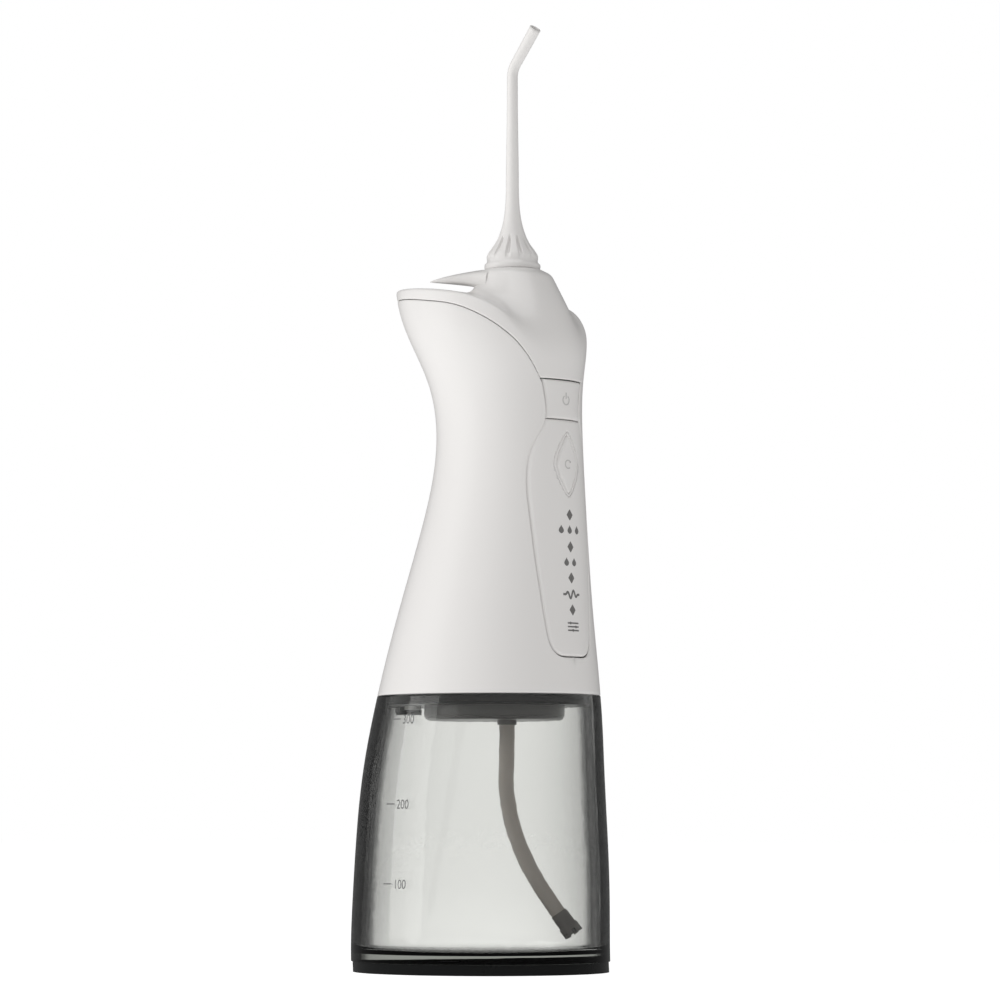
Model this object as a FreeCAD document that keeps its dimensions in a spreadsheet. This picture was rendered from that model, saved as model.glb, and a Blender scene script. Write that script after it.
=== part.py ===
"""Cordless water flosser: a handle with pump, motor and cell on an open-topped water tank.

Millimetres. +Z is up, the origin is the middle of the foot, the controls face -Y and the beak of
the head points to +Y. Every driving size is a named cell of the sheet "dim".
"""
import FreeCAD, Part
import math
import os

import Sketcher
from FreeCAD import Placement, Rotation, Vector

doc = FreeCAD.newDocument("water_flosser")
sheet = doc.addObject("Spreadsheet::Sheet", "dim")

# The moulded outer form is a smooth loft through ovals: height, half width (X), half depth (Y)
# and the place of the oval's middle along Y.
STATIONS = {
    "foot": (0, 39.6, 42.5, 0),
    "heel": (22, 39.4, 42.2, 0),
    "belly": (44, 38.4, 41.2, -0.4),
    "flank": (66, 36.8, 39.4, -1.3),
    "mouth": (87.4, 34.2, 36.7, -3.3),
    "shin": (112, 30.2, 32.4, -5.9),
    "grip": (138, 25.8, 27.7, -9.5),
    "waist": (168, 22.4, 24.1, -12.1),
    "neck": (189, 24.1, 25.9, -10.2),
    "brow": (204, 27.6, 29.6, -6.4),
    "beak": (218, 26, 30.2, -1.4),
    "crown": (226, 25, 30, -0.5),
}

SIZES = {
    "foot_ring": 3.4,
    "foot_step": 0.5,
    "tank_wall": 3,
    "tank_floor": 6,
    "housing_wall": 2.4,
    "seam_gap": 0.15,
    "rim_height": 3.6,
    "crown_round": 1.8,
    "edge_round": 0.35,
    "panel_top": 189.4,
    "panel_foot": 100.2,
    "power_foot": 176,
    "nozzle_y": -13.35,
    "collar_foot": 224.6,
    "collar_radius": 9.2,
    "stem_radius": 2.5,
    "tip_radius": 1.95,
    "bend_height": 286.3,
    "bend_radius": 9,
    "bend_angle": 43,
    "tip_run": 10.5,
    "jet_radius": 0.9,
    "shank_radius": 3.5,
    "shank_foot": 206,
    "socket_foot": 200,
    "socket_radius": 8.6,
    "run_fit": 0.1,
    "base_floor": 84.2,
    "plate_y": -5.9,
    "plate_radius": 22.4,
    "plate_foot": 79.7,
    "hose_radius": 2.45,
    "hose_top": 78.2,
    "suction_y": -11,
    "pump_y": -19.1,
    "pump_bore": 4.5,
    "pump_floor": 94.2,
    "crank_height": 116.5,
    "crank_throw": 1.5,
    "rod_length": 13.2,
    "gear_module": 0.6,
    "gear_teeth": 30,
    "pinion_teeth": 10,
    "gear_front": -24,
    "gear_width": 3,
    "motor_front": -16,
    "motor_length": 28,
    "motor_radius": 12.1,
    "cell_radius": 9.2,
    "cell_foot": 146.2,
    "cell_length": 49.5,
    "cell_y": -1,
    "board_front": -29.6,
    "board_thickness": 1.6,
}


def fill_sheet():
    """Write every size to the sheet, one named cell to a row."""
    rows = dict(SIZES)
    for station, sizes in STATIONS.items():
        for word, number in zip(("height", "width", "depth", "middle"), sizes):
            rows[station + "_" + word] = number
    for row, (name, number) in enumerate(rows.items(), start=1):
        sheet.set("A%d" % row, name)
        sheet.set("B%d" % row, str(number))
        sheet.setAlias("B%d" % row, name)
    doc.recompute()


fill_sheet()


# ---------------------------------------------------------------- ways of making a piece

def size(text):
    """Number that an expression on the sheet comes to, such as 'dim.tank_wall * 2'."""
    return float(sheet.evalExpression(str(text)))


ALONG = {
    "Z": Rotation(),
    "Y": Rotation(Vector(0, 0, 1), Vector(0, 1, 0)),
    "X": Rotation(Vector(0, 0, 1), Vector(1, 0, 0)),
}


def place(item, at, along="Z"):
    """Stand an item at a point given by three expressions, its own Z turned along an axis."""
    item.Placement = Placement(Vector(), ALONG[along])
    for axis, text in zip("xyz", at):
        item.setExpression("Placement.Base." + axis, str(text))
    return item


def box(name, x, y, z):
    """Box between a low and a high expression along each axis."""
    item = doc.addObject("Part::Box", name)
    for prop, (low, high) in zip(("Length", "Width", "Height"), (x, y, z)):
        item.setExpression(prop, "(%s) - (%s)" % (high, low))
    return place(item, (x[0], y[0], z[0]))


def rod(name, radius, length, at, along="Z"):
    """Round bar from a point, along an axis."""
    item = doc.addObject("Part::Cylinder", name)
    item.setExpression("Radius", str(radius))
    item.setExpression("Height", str(length))
    return place(item, at, along)


def join(name, *items):
    item = doc.addObject("Part::MultiFuse", name)
    item.Shapes = list(items)
    return item


def cut(name, base, *tools):
    item = doc.addObject("Part::Cut", name)
    item.Base = base
    item.Tool = tools[0] if len(tools) == 1 else join(name + "_tools", *tools)
    return item


def common(name, base, tool):
    item = doc.addObject("Part::Common", name)
    item.Base = base
    item.Tool = tool
    return item


def group(name, items):
    """Like pieces that stay apart, kept as one node."""
    item = doc.addObject("Part::Compound", name)
    item.Links = list(items)
    return item


def rounded(name, base, radius, picks):
    """Round the edges of a shape that a test picks out."""
    doc.recompute()
    item = doc.addObject("Part::Fillet", name)
    item.Base = base
    width = size(radius)
    item.Edges = [(i, width, width) for i, edge in enumerate(base.Shape.Edges, start=1) if picks(edge)]
    return item


def flat_at(height):
    """Test for an edge that lies level at a height."""
    return lambda edge: abs(edge.BoundBox.ZMin - height) < 0.01 and edge.BoundBox.ZLength < 0.02


def shaped(name, shape):
    """Piece made with Part's own functions, where no sketch or primitive fits."""
    item = doc.addObject("Part::Feature", name)
    item.Shape = shape
    return item


def sketch_loop(body, role, points):
    """Closed sketch of straight sides whose corners are held by expressions."""
    sketch = body.newObject("Sketcher::SketchObject", body.Name + "Outline")
    plane = [item for item in body.Origin.OriginFeatures if item.Role == role][0]
    sketch.AttachmentSupport = [(plane, "")]
    sketch.MapMode = "FlatFace"
    corners = [Vector(size(a), size(b), 0) for a, b in points]
    count = len(corners)
    for i in range(count):
        sketch.addGeometry(Part.LineSegment(corners[i], corners[(i + 1) % count]))
    for i in range(count):
        sketch.addConstraint(Sketcher.Constraint("Coincident", i, 2, (i + 1) % count, 1))
    for i, (corner, texts) in enumerate(zip(corners, points)):
        for kind, number, text in zip(("DistanceX", "DistanceY"), (corner.x, corner.y), texts):
            held = sketch.addConstraint(Sketcher.Constraint(kind, -1, 1, i, 1, number))
            sketch.setExpression("Constraints[%d]" % held, str(text))
    return sketch


def turned(name, profile, at=(0, 0, 0), along="Z"):
    """Turned piece: a closed profile of (radius, height) taken round its own upright axis."""
    body = doc.addObject("PartDesign::Body", name)
    sketch = sketch_loop(body, "XZ_Plane", profile)
    turn = body.newObject("PartDesign::Revolution", name + "Turn")
    turn.Profile = sketch
    turn.ReferenceAxis = (sketch, ["V_Axis"])
    turn.Angle = 360
    return place(body, at, along)


def smooth(points, closed=False):
    """Smooth edge through points."""
    curve = Part.BSplineCurve()
    curve.interpolate(points, PeriodicFlag=closed)
    return curve.toShape()


def softened(points, radii):
    """Closed wire through corner points, each corner rounded by its own radius."""
    edges = []
    ends = []
    count = len(points)
    for i, (corner, radius) in enumerate(zip(points, radii)):
        before = (points[i - 1] - corner).normalize()
        after = (points[(i + 1) % count] - corner).normalize()
        half = before.getAngle(after) / 2
        back = radius / math.tan(half)
        start, end = corner + before * back, corner + after * back
        middle = corner + (before + after).normalize() * (radius / math.sin(half) - radius)
        ends.append((start, middle, end))
    for i, (start, middle, end) in enumerate(ends):
        if start.distanceToPoint(end) > 1e-6:
            edges.append(Part.Arc(start, middle, end).toShape())
        edges.append(Part.LineSegment(end, ends[(i + 1) % count][0]).toShape())
    return Part.Wire(edges)


def routed(points):
    """Path of straight runs joined by tangent arcs as large as the runs allow, and its least radius."""
    edges = []
    radii = []
    last = points[0]
    for before, corner, after in zip(points, points[1:], points[2:]):
        back = (before - corner).normalize()
        ahead = (after - corner).normalize()
        half = back.getAngle(ahead) / 2
        reach = 0.45 * min(before.distanceToPoint(corner), after.distanceToPoint(corner))
        radius = reach * math.tan(half)
        start, end = corner + back * reach, corner + ahead * reach
        middle = corner + (back + ahead).normalize() * (radius / math.sin(half) - radius)
        edges.append(Part.LineSegment(last, start).toShape())
        edges.append(Part.Arc(start, middle, end).toShape())
        radii.append(radius)
        last = end
    edges.append(Part.LineSegment(last, points[-1]).toShape())
    return Part.Wire(edges), radii


def tube(name, points, radius, bore=0):
    """Hose along a route, solid unless a bore is given."""
    path, radii = routed(points)
    start = (points[1] - points[0]).normalize()
    ring = Part.Wire(Part.makeCircle(radius, points[0], start))
    hose = path.makePipeShell([ring], True, True)
    if bore:
        hollow = Part.Wire(Part.makeCircle(bore, points[0], start))
        hose = hose.cut(path.makePipeShell([hollow], True, True))
    area = math.pi * (radius ** 2 - bore ** 2)
    print(name, "length %.1f, least radius %.1f, volume ratio %.3f" % (
        path.Length, min(radii), hose.Volume / (area * path.Length)))
    return shaped(name, hose)


parts = []


def keep(label, item):
    """Name a finished sub-part."""
    item.Label = label
    parts.append(item)
    return item


# ---------------------------------------------------------------- the moulded outer form

def form(name, inset):
    """Smooth solid through the ovals of every station, drawn in by an inset."""
    ovals = []
    for station in STATIONS:
        oval = doc.addObject("Part::Ellipse", name + "_" + station)
        oval.setExpression("MajorRadius", "dim.%s_depth - %s" % (station, inset))
        oval.setExpression("MinorRadius", "dim.%s_width - %s" % (station, inset))
        oval.Placement = Placement(Vector(), Rotation(Vector(0, 0, 1), 90))
        oval.setExpression("Placement.Base.y", "dim.%s_middle" % station)
        oval.setExpression("Placement.Base.z", "dim.%s_height" % station)
        ovals.append(oval)
    loft = doc.addObject("Part::Loft", name)
    loft.Sections = ovals
    loft.Solid = True
    return loft


def oval_slab(name, inset, low, high):
    """Straight-sided oval plug of the tank's mouth, drawn in by an inset."""
    oval = doc.addObject("Part::Ellipse", name + "_oval")
    oval.setExpression("MajorRadius", "dim.mouth_depth - %s" % inset)
    oval.setExpression("MinorRadius", "dim.mouth_width - %s" % inset)
    oval.Placement = Placement(Vector(), Rotation(Vector(0, 0, 1), 90))
    oval.setExpression("Placement.Base.y", "dim.mouth_middle")
    oval.setExpression("Placement.Base.z", low)
    slab = doc.addObject("Part::Extrusion", name)
    slab.Base = oval
    slab.DirMode = "Custom"
    slab.Dir = Vector(0, 0, 1)
    slab.setExpression("LengthFwd", "%s - (%s)" % (high, low))
    slab.Solid = True
    return slab


def slab_of(name, base, low, high):
    """Slice of a form between two heights."""
    return common(name, base, box(name + "_box", (-60, 60), (-60, 60), (low, high)))


outer_form = form("OuterForm", "0")
inner_form = form("InnerForm", "dim.housing_wall")


def side_prism(name, curve, closing):
    """Region of the side view bounded by a curve and closing corners, taken right across in X."""
    edges = [smooth(curve)]
    corners = [curve[-1]] + closing + [curve[0]]
    for start, end in zip(corners, corners[1:]):
        edges.append(Part.makeLine(start, end))
    face = Part.Face(Part.Wire(edges))
    return shaped(name, face.extrude(Vector(120, 0, 0)))


def seam_curve(rise):
    """Seam between housing and head cover in the side view, lifted by a rise square to the curve."""
    top, foot = size("dim.beak_height - dim.rim_height"), size("dim.panel_top")
    flat = [(34, top), (10, top), (-8, top - 0.6), (-19.5, top - 4.1)]
    steep = [(-27.3, top - 10.2), (-32.1, top - 18.6), (-33.9, foot)]
    points = [Vector(-60, y, z) for y, z in flat + steep]
    lifted = []
    for i, point in enumerate(points):
        ahead = points[min(i + 1, len(points) - 1)] - points[max(i - 1, 0)]
        square = Vector(0, ahead.z, -ahead.y).normalize()
        lifted.append(point + square * rise)
    return lifted


def above_seam(name, rise):
    """Everything over the seam curve and in front of it, down to the top of the power button."""
    curve = seam_curve(rise)
    foot = curve[-1].z
    return side_prism(name, curve, [Vector(-60, -70, foot), Vector(-60, -70, 240), Vector(-60, 34, 240)])


def below_shelf(name, rise):
    """Everything under the shelf of the head cover, which follows the seam curve at a rise."""
    curve = seam_curve(rise)
    return side_prism(name, curve, [Vector(-60, -70, curve[-1].z), Vector(-60, -70, 60), Vector(-60, 34, 60)])


# ---------------------------------------------------------------- tank

def make_tank():
    """Tank: a smoke-clear open pot, its floor corner rounded inside."""
    blank = slab_of("TankBlank", outer_form, "dim.foot_ring", "dim.mouth_height")
    inside = slab_of("TankInside", form("TankForm", "dim.tank_wall"), "dim.tank_floor", "dim.mouth_height + 1")
    hollow = rounded("TankHollow", inside, "dim.tank_wall - 0.2", flat_at(size("dim.tank_floor")))
    keep("tank_shell", cut("TankShell", blank, hollow))


def make_tank_foot():
    """Dark foot ring bonded under the tank, hollowed so that it stands on its rim."""
    foot = slab_of("FootBlank", form("FootForm", "dim.foot_step"), "0", "dim.foot_ring")
    hollow = rod("FootHollow", "dim.foot_width - 5", "0.9", (0, 0, 0))
    keep("tank_foot", cut("TankFoot", foot, hollow))


# ---------------------------------------------------------------- housing and controls

def half_widths(grow):
    """Half outline of the control panel, top to bottom, as (half width, height)."""
    top, foot = size("dim.panel_top"), size("dim.panel_foot")
    tall = top - foot
    shares = ((9.4, 0), (7.7, 0.08), (11.2, 0.21), (14.5, 0.31), (15.1, 0.4), (13.6, 0.617), (10.8, 0.9))
    return [Vector(half + grow, 0, top - share * tall) for half, share in shares], foot - grow


def panel_prism(name, grow):
    """Violin-shaped outline of the control panel, taken through the front wall."""
    side, foot = half_widths(grow)
    top = side[0]
    mirror = [Vector(-point.x, 0, point.z) for point in reversed(side)]
    low, other = side[-1], mirror[0]
    dip = (low.z - foot) * 0.22
    corner = Vector(low.x - 2.2, 0, foot + dip)
    base = Vector(low.x - 6.5, 0, foot)
    foot_side = Part.Arc(low, corner, base).toShape()
    other_side = Part.Arc(Vector(-base.x, 0, foot), Vector(-corner.x, 0, corner.z), other).toShape()
    edges = [smooth(side), foot_side, Part.makeLine(base, Vector(-base.x, 0, foot)), other_side,
             smooth(mirror), Part.makeLine(mirror[-1], top)]
    face = Part.Face(Part.Wire(edges))
    face.translate(Vector(0, -50, 0))
    return shaped(name, face.extrude(Vector(0, 28, 0)))


def make_skin():
    """Moulded wall between the outer and inner forms, above the tank's mouth."""
    shell = cut("ShellWall", outer_form, inner_form)
    return slab_of("Skin", shell, "dim.mouth_height", "dim.beak_height")


def make_housing(skin):
    """Handle housing: one white shell with the seam for the head cover and the panel's opening."""
    shell = cut("HousingShell", skin, above_seam("SeamAbove", 0), panel_prism("PanelHole", 0.1),
                make_socket_hole())
    keep("main_housing", rounded("MainHousing", shell, "dim.edge_round", on_outer_seam))


def on_outer_seam(edge):
    """Test for the two long outer edges of the housing along the head cover's seam."""
    bounds = edge.BoundBox
    return bounds.ZMin > 189 and bounds.YMax > 27 and edge.Length > 80


def make_socket_hole():
    """Hole in the back wall for the charging socket and its cover."""
    return box("SocketHole", (-6.2, 6.2), (10, 40), (97.8, 110.2))


def diamond(name, middle, wide, tall, radii, low, high):
    """Rounded diamond about a height, taken through the front wall from low to high in Y."""
    points = [Vector(0, low, middle + tall), Vector(wide, low, middle),
              Vector(0, low, middle - tall), Vector(-wide, low, middle)]
    face = Part.Face(softened(points, radii))
    return shaped(name, face.extrude(Vector(0, high - low, 0)))


MODE_MIDDLE = 161.8
LIGHT_HEIGHTS = (145.6, 135.4, 125.1, 114.9)


def make_panel(skin):
    """Control panel with the mode button's opening and four light windows."""
    plate = common("PanelPlate", skin, panel_prism("PanelBody", 0))
    lower = slab_of("PanelLower", plate, "dim.panel_foot - 1", "dim.power_foot - dim.seam_gap")
    hole = diamond("ModeHole", MODE_MIDDLE, 6.7, 12.3, (2, 4.2, 2, 4.2), -50, -20)
    windows = group("WindowHoles", [diamond("WindowHole%d" % i, height, 1.75, 1.95, (0.2,) * 4, -50, -20)
                                    for i, height in enumerate(LIGHT_HEIGHTS)])
    keep("control_panel", cut("ControlPanel", lower, join("PanelCuts", hole, windows)))
    lenses = [common("Window%d" % i, skin, diamond("WindowBar%d" % i, height, 1.7, 1.9, (0.2,) * 4, -50, -20))
              for i, height in enumerate(LIGHT_HEIGHTS)]
    keep("light_windows", group("LightWindows", lenses))
    return plate


def make_power_button(plate):
    """Power button: the top of the panel's outline, with a stem that reaches for its switch."""
    cap = slab_of("PowerCap", plate, "dim.power_foot + dim.seam_gap", "dim.panel_top - dim.seam_gap")
    trim = panel_prism("PowerTrim", -0.15)
    stem = rod("PowerStem", "2", "2.2", (0, "dim.board_front - 5.6", 182), "Y")
    keep("power_button", join("PowerButton", common("PowerFace", cap, trim), stem))


def make_mode_button(skin):
    """Mode button: a rounded diamond that stands a little proud, with a raised inner diamond."""
    cap = common("ModeCap", skin, diamond("ModeBar", MODE_MIDDLE, 6.5, 12.1, (2, 4, 2, 4), -50, -20))
    stem = rod("ModeStem", "2", "2.2", (0, "dim.board_front - 5.6", MODE_MIDDLE), "Y")
    soft = rounded("ModeSoft", cap, "dim.edge_round", lambda edge: edge.BoundBox.YMax < -35.5)
    keep("mode_button", join("ModeButton", soft, stem))


def make_board():
    """Circuit board behind the panel, with its two switches and four lights."""
    front = "dim.board_front"
    board = box("BoardBlank", (-9.5, 9.5), (front, front + " + dim.board_thickness"), (108, 192))
    keep("circuit_board", board)
    switches = []
    for name, height in (("Power", 182), ("Mode", MODE_MIDDLE)):
        case = box(name + "Case", (-3, 3), (front + " - 1.6", front), (height - 3, height + 3))
        tip = rod(name + "Tip", "1.6", "0.9", (0, front + " - 2.4", height), "Y")
        switches.append(join(name + "Switch", case, tip))
    keep("tact_switches", group("TactSwitches", switches))
    lights = [box("Light%d" % i, (-0.8, 0.8), (front + " - 0.8", front), (height - 0.8, height + 0.8))
              for i, height in enumerate(LIGHT_HEIGHTS)]
    keep("mode_leds", group("ModeLeds", lights))


# ---------------------------------------------------------------- head

# Ovals of the crown block: height, half width, half depth and the place of the middle along Y.
CROWN_OVALS = ((186, 25, 27.5, -10.6), (195, 24.2, 26.2, -11.4), (202, 21.6, 22.8, -13.6),
               (208, 17.6, 19, -15.7), (216, 13.1, 14.8, -15.4), (224.4, 10.6, 11.4, -13.4))


def block_form(name):
    """Crown block that carries the nozzle: ovals that shrink and lean back as they rise."""
    ovals = []
    for i, (height, wide, deep, middle) in enumerate(CROWN_OVALS):
        oval = doc.addObject("Part::Ellipse", "%s_oval%d" % (name, i))
        oval.MajorRadius = deep
        oval.MinorRadius = wide
        oval.Placement = Placement(Vector(0, middle, height), Rotation(Vector(0, 0, 1), 90))
        ovals.append(oval)
    loft = doc.addObject("Part::Loft", name)
    loft.Sections = ovals
    loft.Solid = True
    return loft


def make_head_cover():
    """Head cover: rim band and shelf under the crown block, hollow below, bored for the socket."""
    above = above_seam("CoverAbove", size("dim.seam_gap"))
    solid = common("CoverSolid", slab_of("CoverForm", outer_form, "dim.panel_top", "dim.crown_height"), above)
    shelf = common("CoverShelf", solid, below_shelf("ShelfBelow", size("dim.rim_height")))
    block = rounded("CrownSoft", block_form("CrownBlock"), "dim.crown_round", flat_at(CROWN_OVALS[-1][0]))
    body = join("CoverBody", shelf, common("CrownTrim", block, solid))
    stem_slot = box("StemSlot", (-2.6, 2.6), (6.5, 13), (205, 225))
    room = wedge_plan("WedgeRoom", 0.35, 218.6)
    keep("head_cover", cut("HeadCover", cut("CoverShell", body, *cover_hollow()), stem_slot, room))


def cover_hollow():
    """Room under the crown for the nozzle socket, the latch plate and the hose."""
    oval = doc.addObject("Part::Ellipse", "HollowOval")
    oval.MajorRadius = 21
    oval.MinorRadius = 18.5
    oval.Placement = Placement(Vector(0, -11.5, 180), Rotation(Vector(0, 0, 1), 90))
    prism = doc.addObject("Part::Extrusion", "HollowPrism")
    prism.Base = oval
    prism.DirMode = "Custom"
    prism.Dir = Vector(0, 0, 1)
    prism.LengthFwd = 25
    prism.Solid = True
    well = rod("HollowWell", "dim.socket_radius + 3.8", "33.4", (0, "dim.nozzle_y", 180))
    back = box("HollowBack", (-12, 12), ("dim.nozzle_y", 9), (190, 213.4))
    bore = rod("CoverBore", "dim.socket_radius + dim.run_fit", "50", (0, "dim.nozzle_y", 180))
    return prism, well, back, bore


def wedge_plan(name, grow, low):
    """Upright prism of the release button's pointed plan, grown all round, from a height up."""
    front = -3.2 - grow
    plan = [Vector(0, 22.5 + 2.5 * grow, low), Vector(-11.2 - grow, front, low), Vector(11.2 + grow, front, low)]
    face = Part.Face(softened(plan, (2.5, 0.8, 0.8)))
    return shaped(name, face.extrude(Vector(0, 0, 8)))


def make_release_button():
    """Release button: a wedge that floats over the shelf and tips down at its point."""
    wedge = wedge_plan("WedgePlan", 0, 219.4)
    top = [Vector(-60, 30, 219.9), Vector(-60, 5, 222.6), Vector(-60, -10, 224.3)]
    under_top = side_prism("WedgeTop", top, [Vector(-60, -10, 210), Vector(-60, 30, 210)])
    stem = box("ReleaseStem", (-2, 2), (7.4, 12), (213.6, 220))
    keep("release_button", join("ReleaseButton", common("Wedge", wedge, under_top), stem))


def make_latch():
    """Latch plate: thin steel slide whose slot goes round the nozzle socket."""
    ring = rod("LatchRing", "dim.socket_radius + 2.8", "1", (0, "dim.nozzle_y", 211.4))
    tail = box("LatchTail", (-6, 6), ("dim.nozzle_y", 6.6), (211.4, 212.4))
    slot = rod("LatchSlotFront", "dim.socket_radius + 0.4", "5", (0, "dim.nozzle_y - 1.3", 210))
    back = rod("LatchSlotBack", "dim.socket_radius + 0.4", "5", (0, "dim.nozzle_y + 0.1", 210))
    keep("release_latch", cut("ReleaseLatch", join("LatchBlank", ring, tail), slot, back))


def make_nozzle_socket():
    """Fixed socket under the crown: a cup with the hose stub below it."""
    y = "dim.nozzle_y"
    foot = "dim.socket_foot"
    bore = "dim.socket_radius - 1.5"
    profile = [("1.2", foot + " - 3"), ("2.2", foot + " - 3"), ("2.2", foot), ("dim.socket_radius", foot),
               ("dim.socket_radius", foot + " + 20"), (bore, foot + " + 20"), (bore, foot + " + 1.8"),
               ("1.2", foot + " + 1.8")]
    keep("nozzle_socket", turned("NozzleSocket", profile, (0, y, 0)))


def make_nozzle_seat():
    """Turning seat of the nozzle: a sleeve in the socket with a flange on the crown."""
    outer = "dim.socket_radius - 1.5 - 0.1"
    bore = "dim.shank_radius + 0.06"
    top = "dim.collar_foot - 0.15"
    profile = [("1.4", "203.4"), (outer, "203.4"), (outer, "206.4"), (outer + " - 1.2", "206.4"),
               (outer + " - 1.2", "208"), (outer, "208"), (outer, top + " - 1.8"), ("8.3", top + " - 1.8"),
               ("8.3", top), (bore, top), (bore, "205.4"), ("1.4", "205.4")]
    keep("nozzle_seat", turned("NozzleSeat", profile, (0, "dim.nozzle_y", 0)))
    ring = [(outer + " - 1.15", "206.5"), (outer + " + 0.05", "206.5"), (outer + " + 0.05", "207.9"),
            (outer + " - 1.15", "207.9")]
    keep("seat_seal", turned("SeatSeal", ring, (0, "dim.nozzle_y", 0)))


def flute(name, turn):
    """Leaf-shaped hollow that is cut into the nozzle's collar at one angle."""
    leaf = doc.addObject("Part::Ellipsoid", name)
    leaf.Radius1 = 1.35
    leaf.Radius2 = 1.15
    leaf.Radius3 = 3.9
    lean = Rotation(Vector(0, 1, 0), -34)
    around = Placement(Vector(0, size("dim.nozzle_y"), 0), Rotation(Vector(0, 0, 1), turn))
    leaf.Placement = around.multiply(Placement(Vector(8.35, 0, 229.1), lean))
    return leaf


def nozzle_bend():
    """Middle line of the nozzle's tip, round the bend and out towards -Y, with its end and heading."""
    y, top = size("dim.nozzle_y"), size("dim.bend_height")
    radius, angle = size("dim.bend_radius"), math.radians(size("dim.bend_angle"))
    middle = Vector(0, y - radius, top)

    def on_bend(turn):
        return middle + Vector(0, radius * math.cos(turn), radius * math.sin(turn))
    ahead = Vector(0, -math.sin(angle), math.cos(angle))
    end = on_bend(angle) + ahead * size("dim.tip_run")
    bend = Part.Arc(on_bend(0), on_bend(angle / 2), on_bend(angle)).toShape()
    return [bend, Part.makeLine(on_bend(angle), end)], end, ahead


def make_nozzle():
    """Jet nozzle: tapered stem with a bent tip, fluted collar, and a shank with a seal groove."""
    y = size("dim.nozzle_y")
    foot, shank, low = size("dim.collar_foot"), size("dim.shank_radius"), size("dim.shank_foot")
    stem, bend = size("dim.stem_radius"), size("dim.bend_height")
    lip = size("dim.collar_radius")
    flare = [Vector(radius, 0, foot + rise) for radius, rise in
             ((lip - 0.1, 2), (7.4, 4), (5.2, 6.9), (4.2, 10), (3.35, 16), (2.85, 28), (2.6, 42))]
    flare.append(Vector(stem, 0, bend))
    groove = (low + 2, low + 3.6)
    corners = [Vector(stem, 0, bend), Vector(0, 0, bend), Vector(0, 0, low), Vector(shank - 0.5, 0, low),
               Vector(shank, 0, low + 0.5), Vector(shank, 0, groove[0]), Vector(shank - 0.8, 0, groove[0]),
               Vector(shank - 0.8, 0, groove[1]), Vector(shank, 0, groove[1]), Vector(shank, 0, foot),
               Vector(lip, 0, foot), Vector(lip, 0, foot + 1.6), Vector(lip - 0.1, 0, foot + 2)]
    profile = Part.Wire([smooth(flare)] + [Part.makeLine(a, b) for a, b in zip(corners, corners[1:])])
    turned_part = Part.Face(profile).revolve(Vector(0, 0, 0), Vector(0, 0, 1), 360)
    turned_part.translate(Vector(0, y, 0))
    edges, end, ahead = nozzle_bend()
    bent = Part.Wire(edges)
    start_ring = Part.Wire(Part.makeCircle(stem, Vector(0, y, bend), Vector(0, 0, 1)))
    end_ring = Part.Wire(Part.makeCircle(size("dim.tip_radius"), end, ahead))
    tip = bent.makePipeShell([start_ring, end_ring], True, True)
    blank = shaped("NozzleBlank", turned_part.fuse(tip).removeSplitter())
    jet = Part.Wire(Part.makeCircle(size("dim.jet_radius"), Vector(0, y, low - 1), Vector(0, 0, 1)))
    straight = Part.makeLine(Vector(0, y, low - 1), Vector(0, y, bend))
    way = Part.Wire([straight] + edges + [Part.makeLine(end, end + ahead * 2)])
    bore = shaped("NozzleBore", way.makePipeShell([jet], True, True))
    flutes = group("Flutes", [flute("Flute%d" % i, 15 + 30 * i) for i in range(12)])
    keep("nozzle", cut("Nozzle", cut("NozzleFluted", blank, flutes), bore))
    ring = [("dim.shank_radius - 0.75", low + 2.1), ("dim.shank_radius + 0.04", low + 2.1),
            ("dim.shank_radius + 0.04", low + 3.5), ("dim.shank_radius - 0.75", low + 3.5)]
    keep("nozzle_seal", turned("NozzleSeal", ring, (0, "dim.nozzle_y", 0)))


# ---------------------------------------------------------------- foot of the handle, in the tank's mouth

def make_handle_base():
    """Dark tray that closes the housing and plugs the tank's mouth, with a snap tab at the back."""
    floor = "dim.base_floor"
    plug = oval_slab("BasePlug", "3.3", floor, "dim.mouth_height + 2.6")
    tray = oval_slab("BaseTray", "5.4", floor + " + 2.2", "dim.mouth_height + 3")
    groove = cut("SealGroove", oval_slab("GrooveOuter", "3", floor + " + 0.8", floor + " + 2.4"),
                 oval_slab("GrooveInner", "4.4", floor + " + 0.7", floor + " + 2.5"))
    suction = rod("BaseBore", "2.6", "10", (0, "dim.suction_y", floor + " - 2"))
    vent = rod("VentHole", "1.2", "10", (-16, 14.5, floor + " - 2"))
    tab = box("SnapTab", (-11.5, -1), (25.2, 27.4), (floor + " - 2.3", floor))
    keep("handle_base", join("HandleBase", cut("BaseBody", plug, tray, groove, suction, vent), tab))
    seal = cut("BaseSeal", oval_slab("SealOuter", "3.06", floor + " + 0.85", floor + " + 2.35"),
               oval_slab("SealInner", "4.36", floor + " + 0.8", floor + " + 2.4"))
    keep("tank_seal", seal)
    flap = [("0", floor + " - 1.2"), ("2.6", floor + " - 1.2"), ("2.6", floor), ("1.15", floor),
            ("1.15", floor + " + 2.6"), ("0", floor + " + 2.6")]
    keep("vent_valve", turned("VentValve", flap, (-16, 14.5, 0)))


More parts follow.
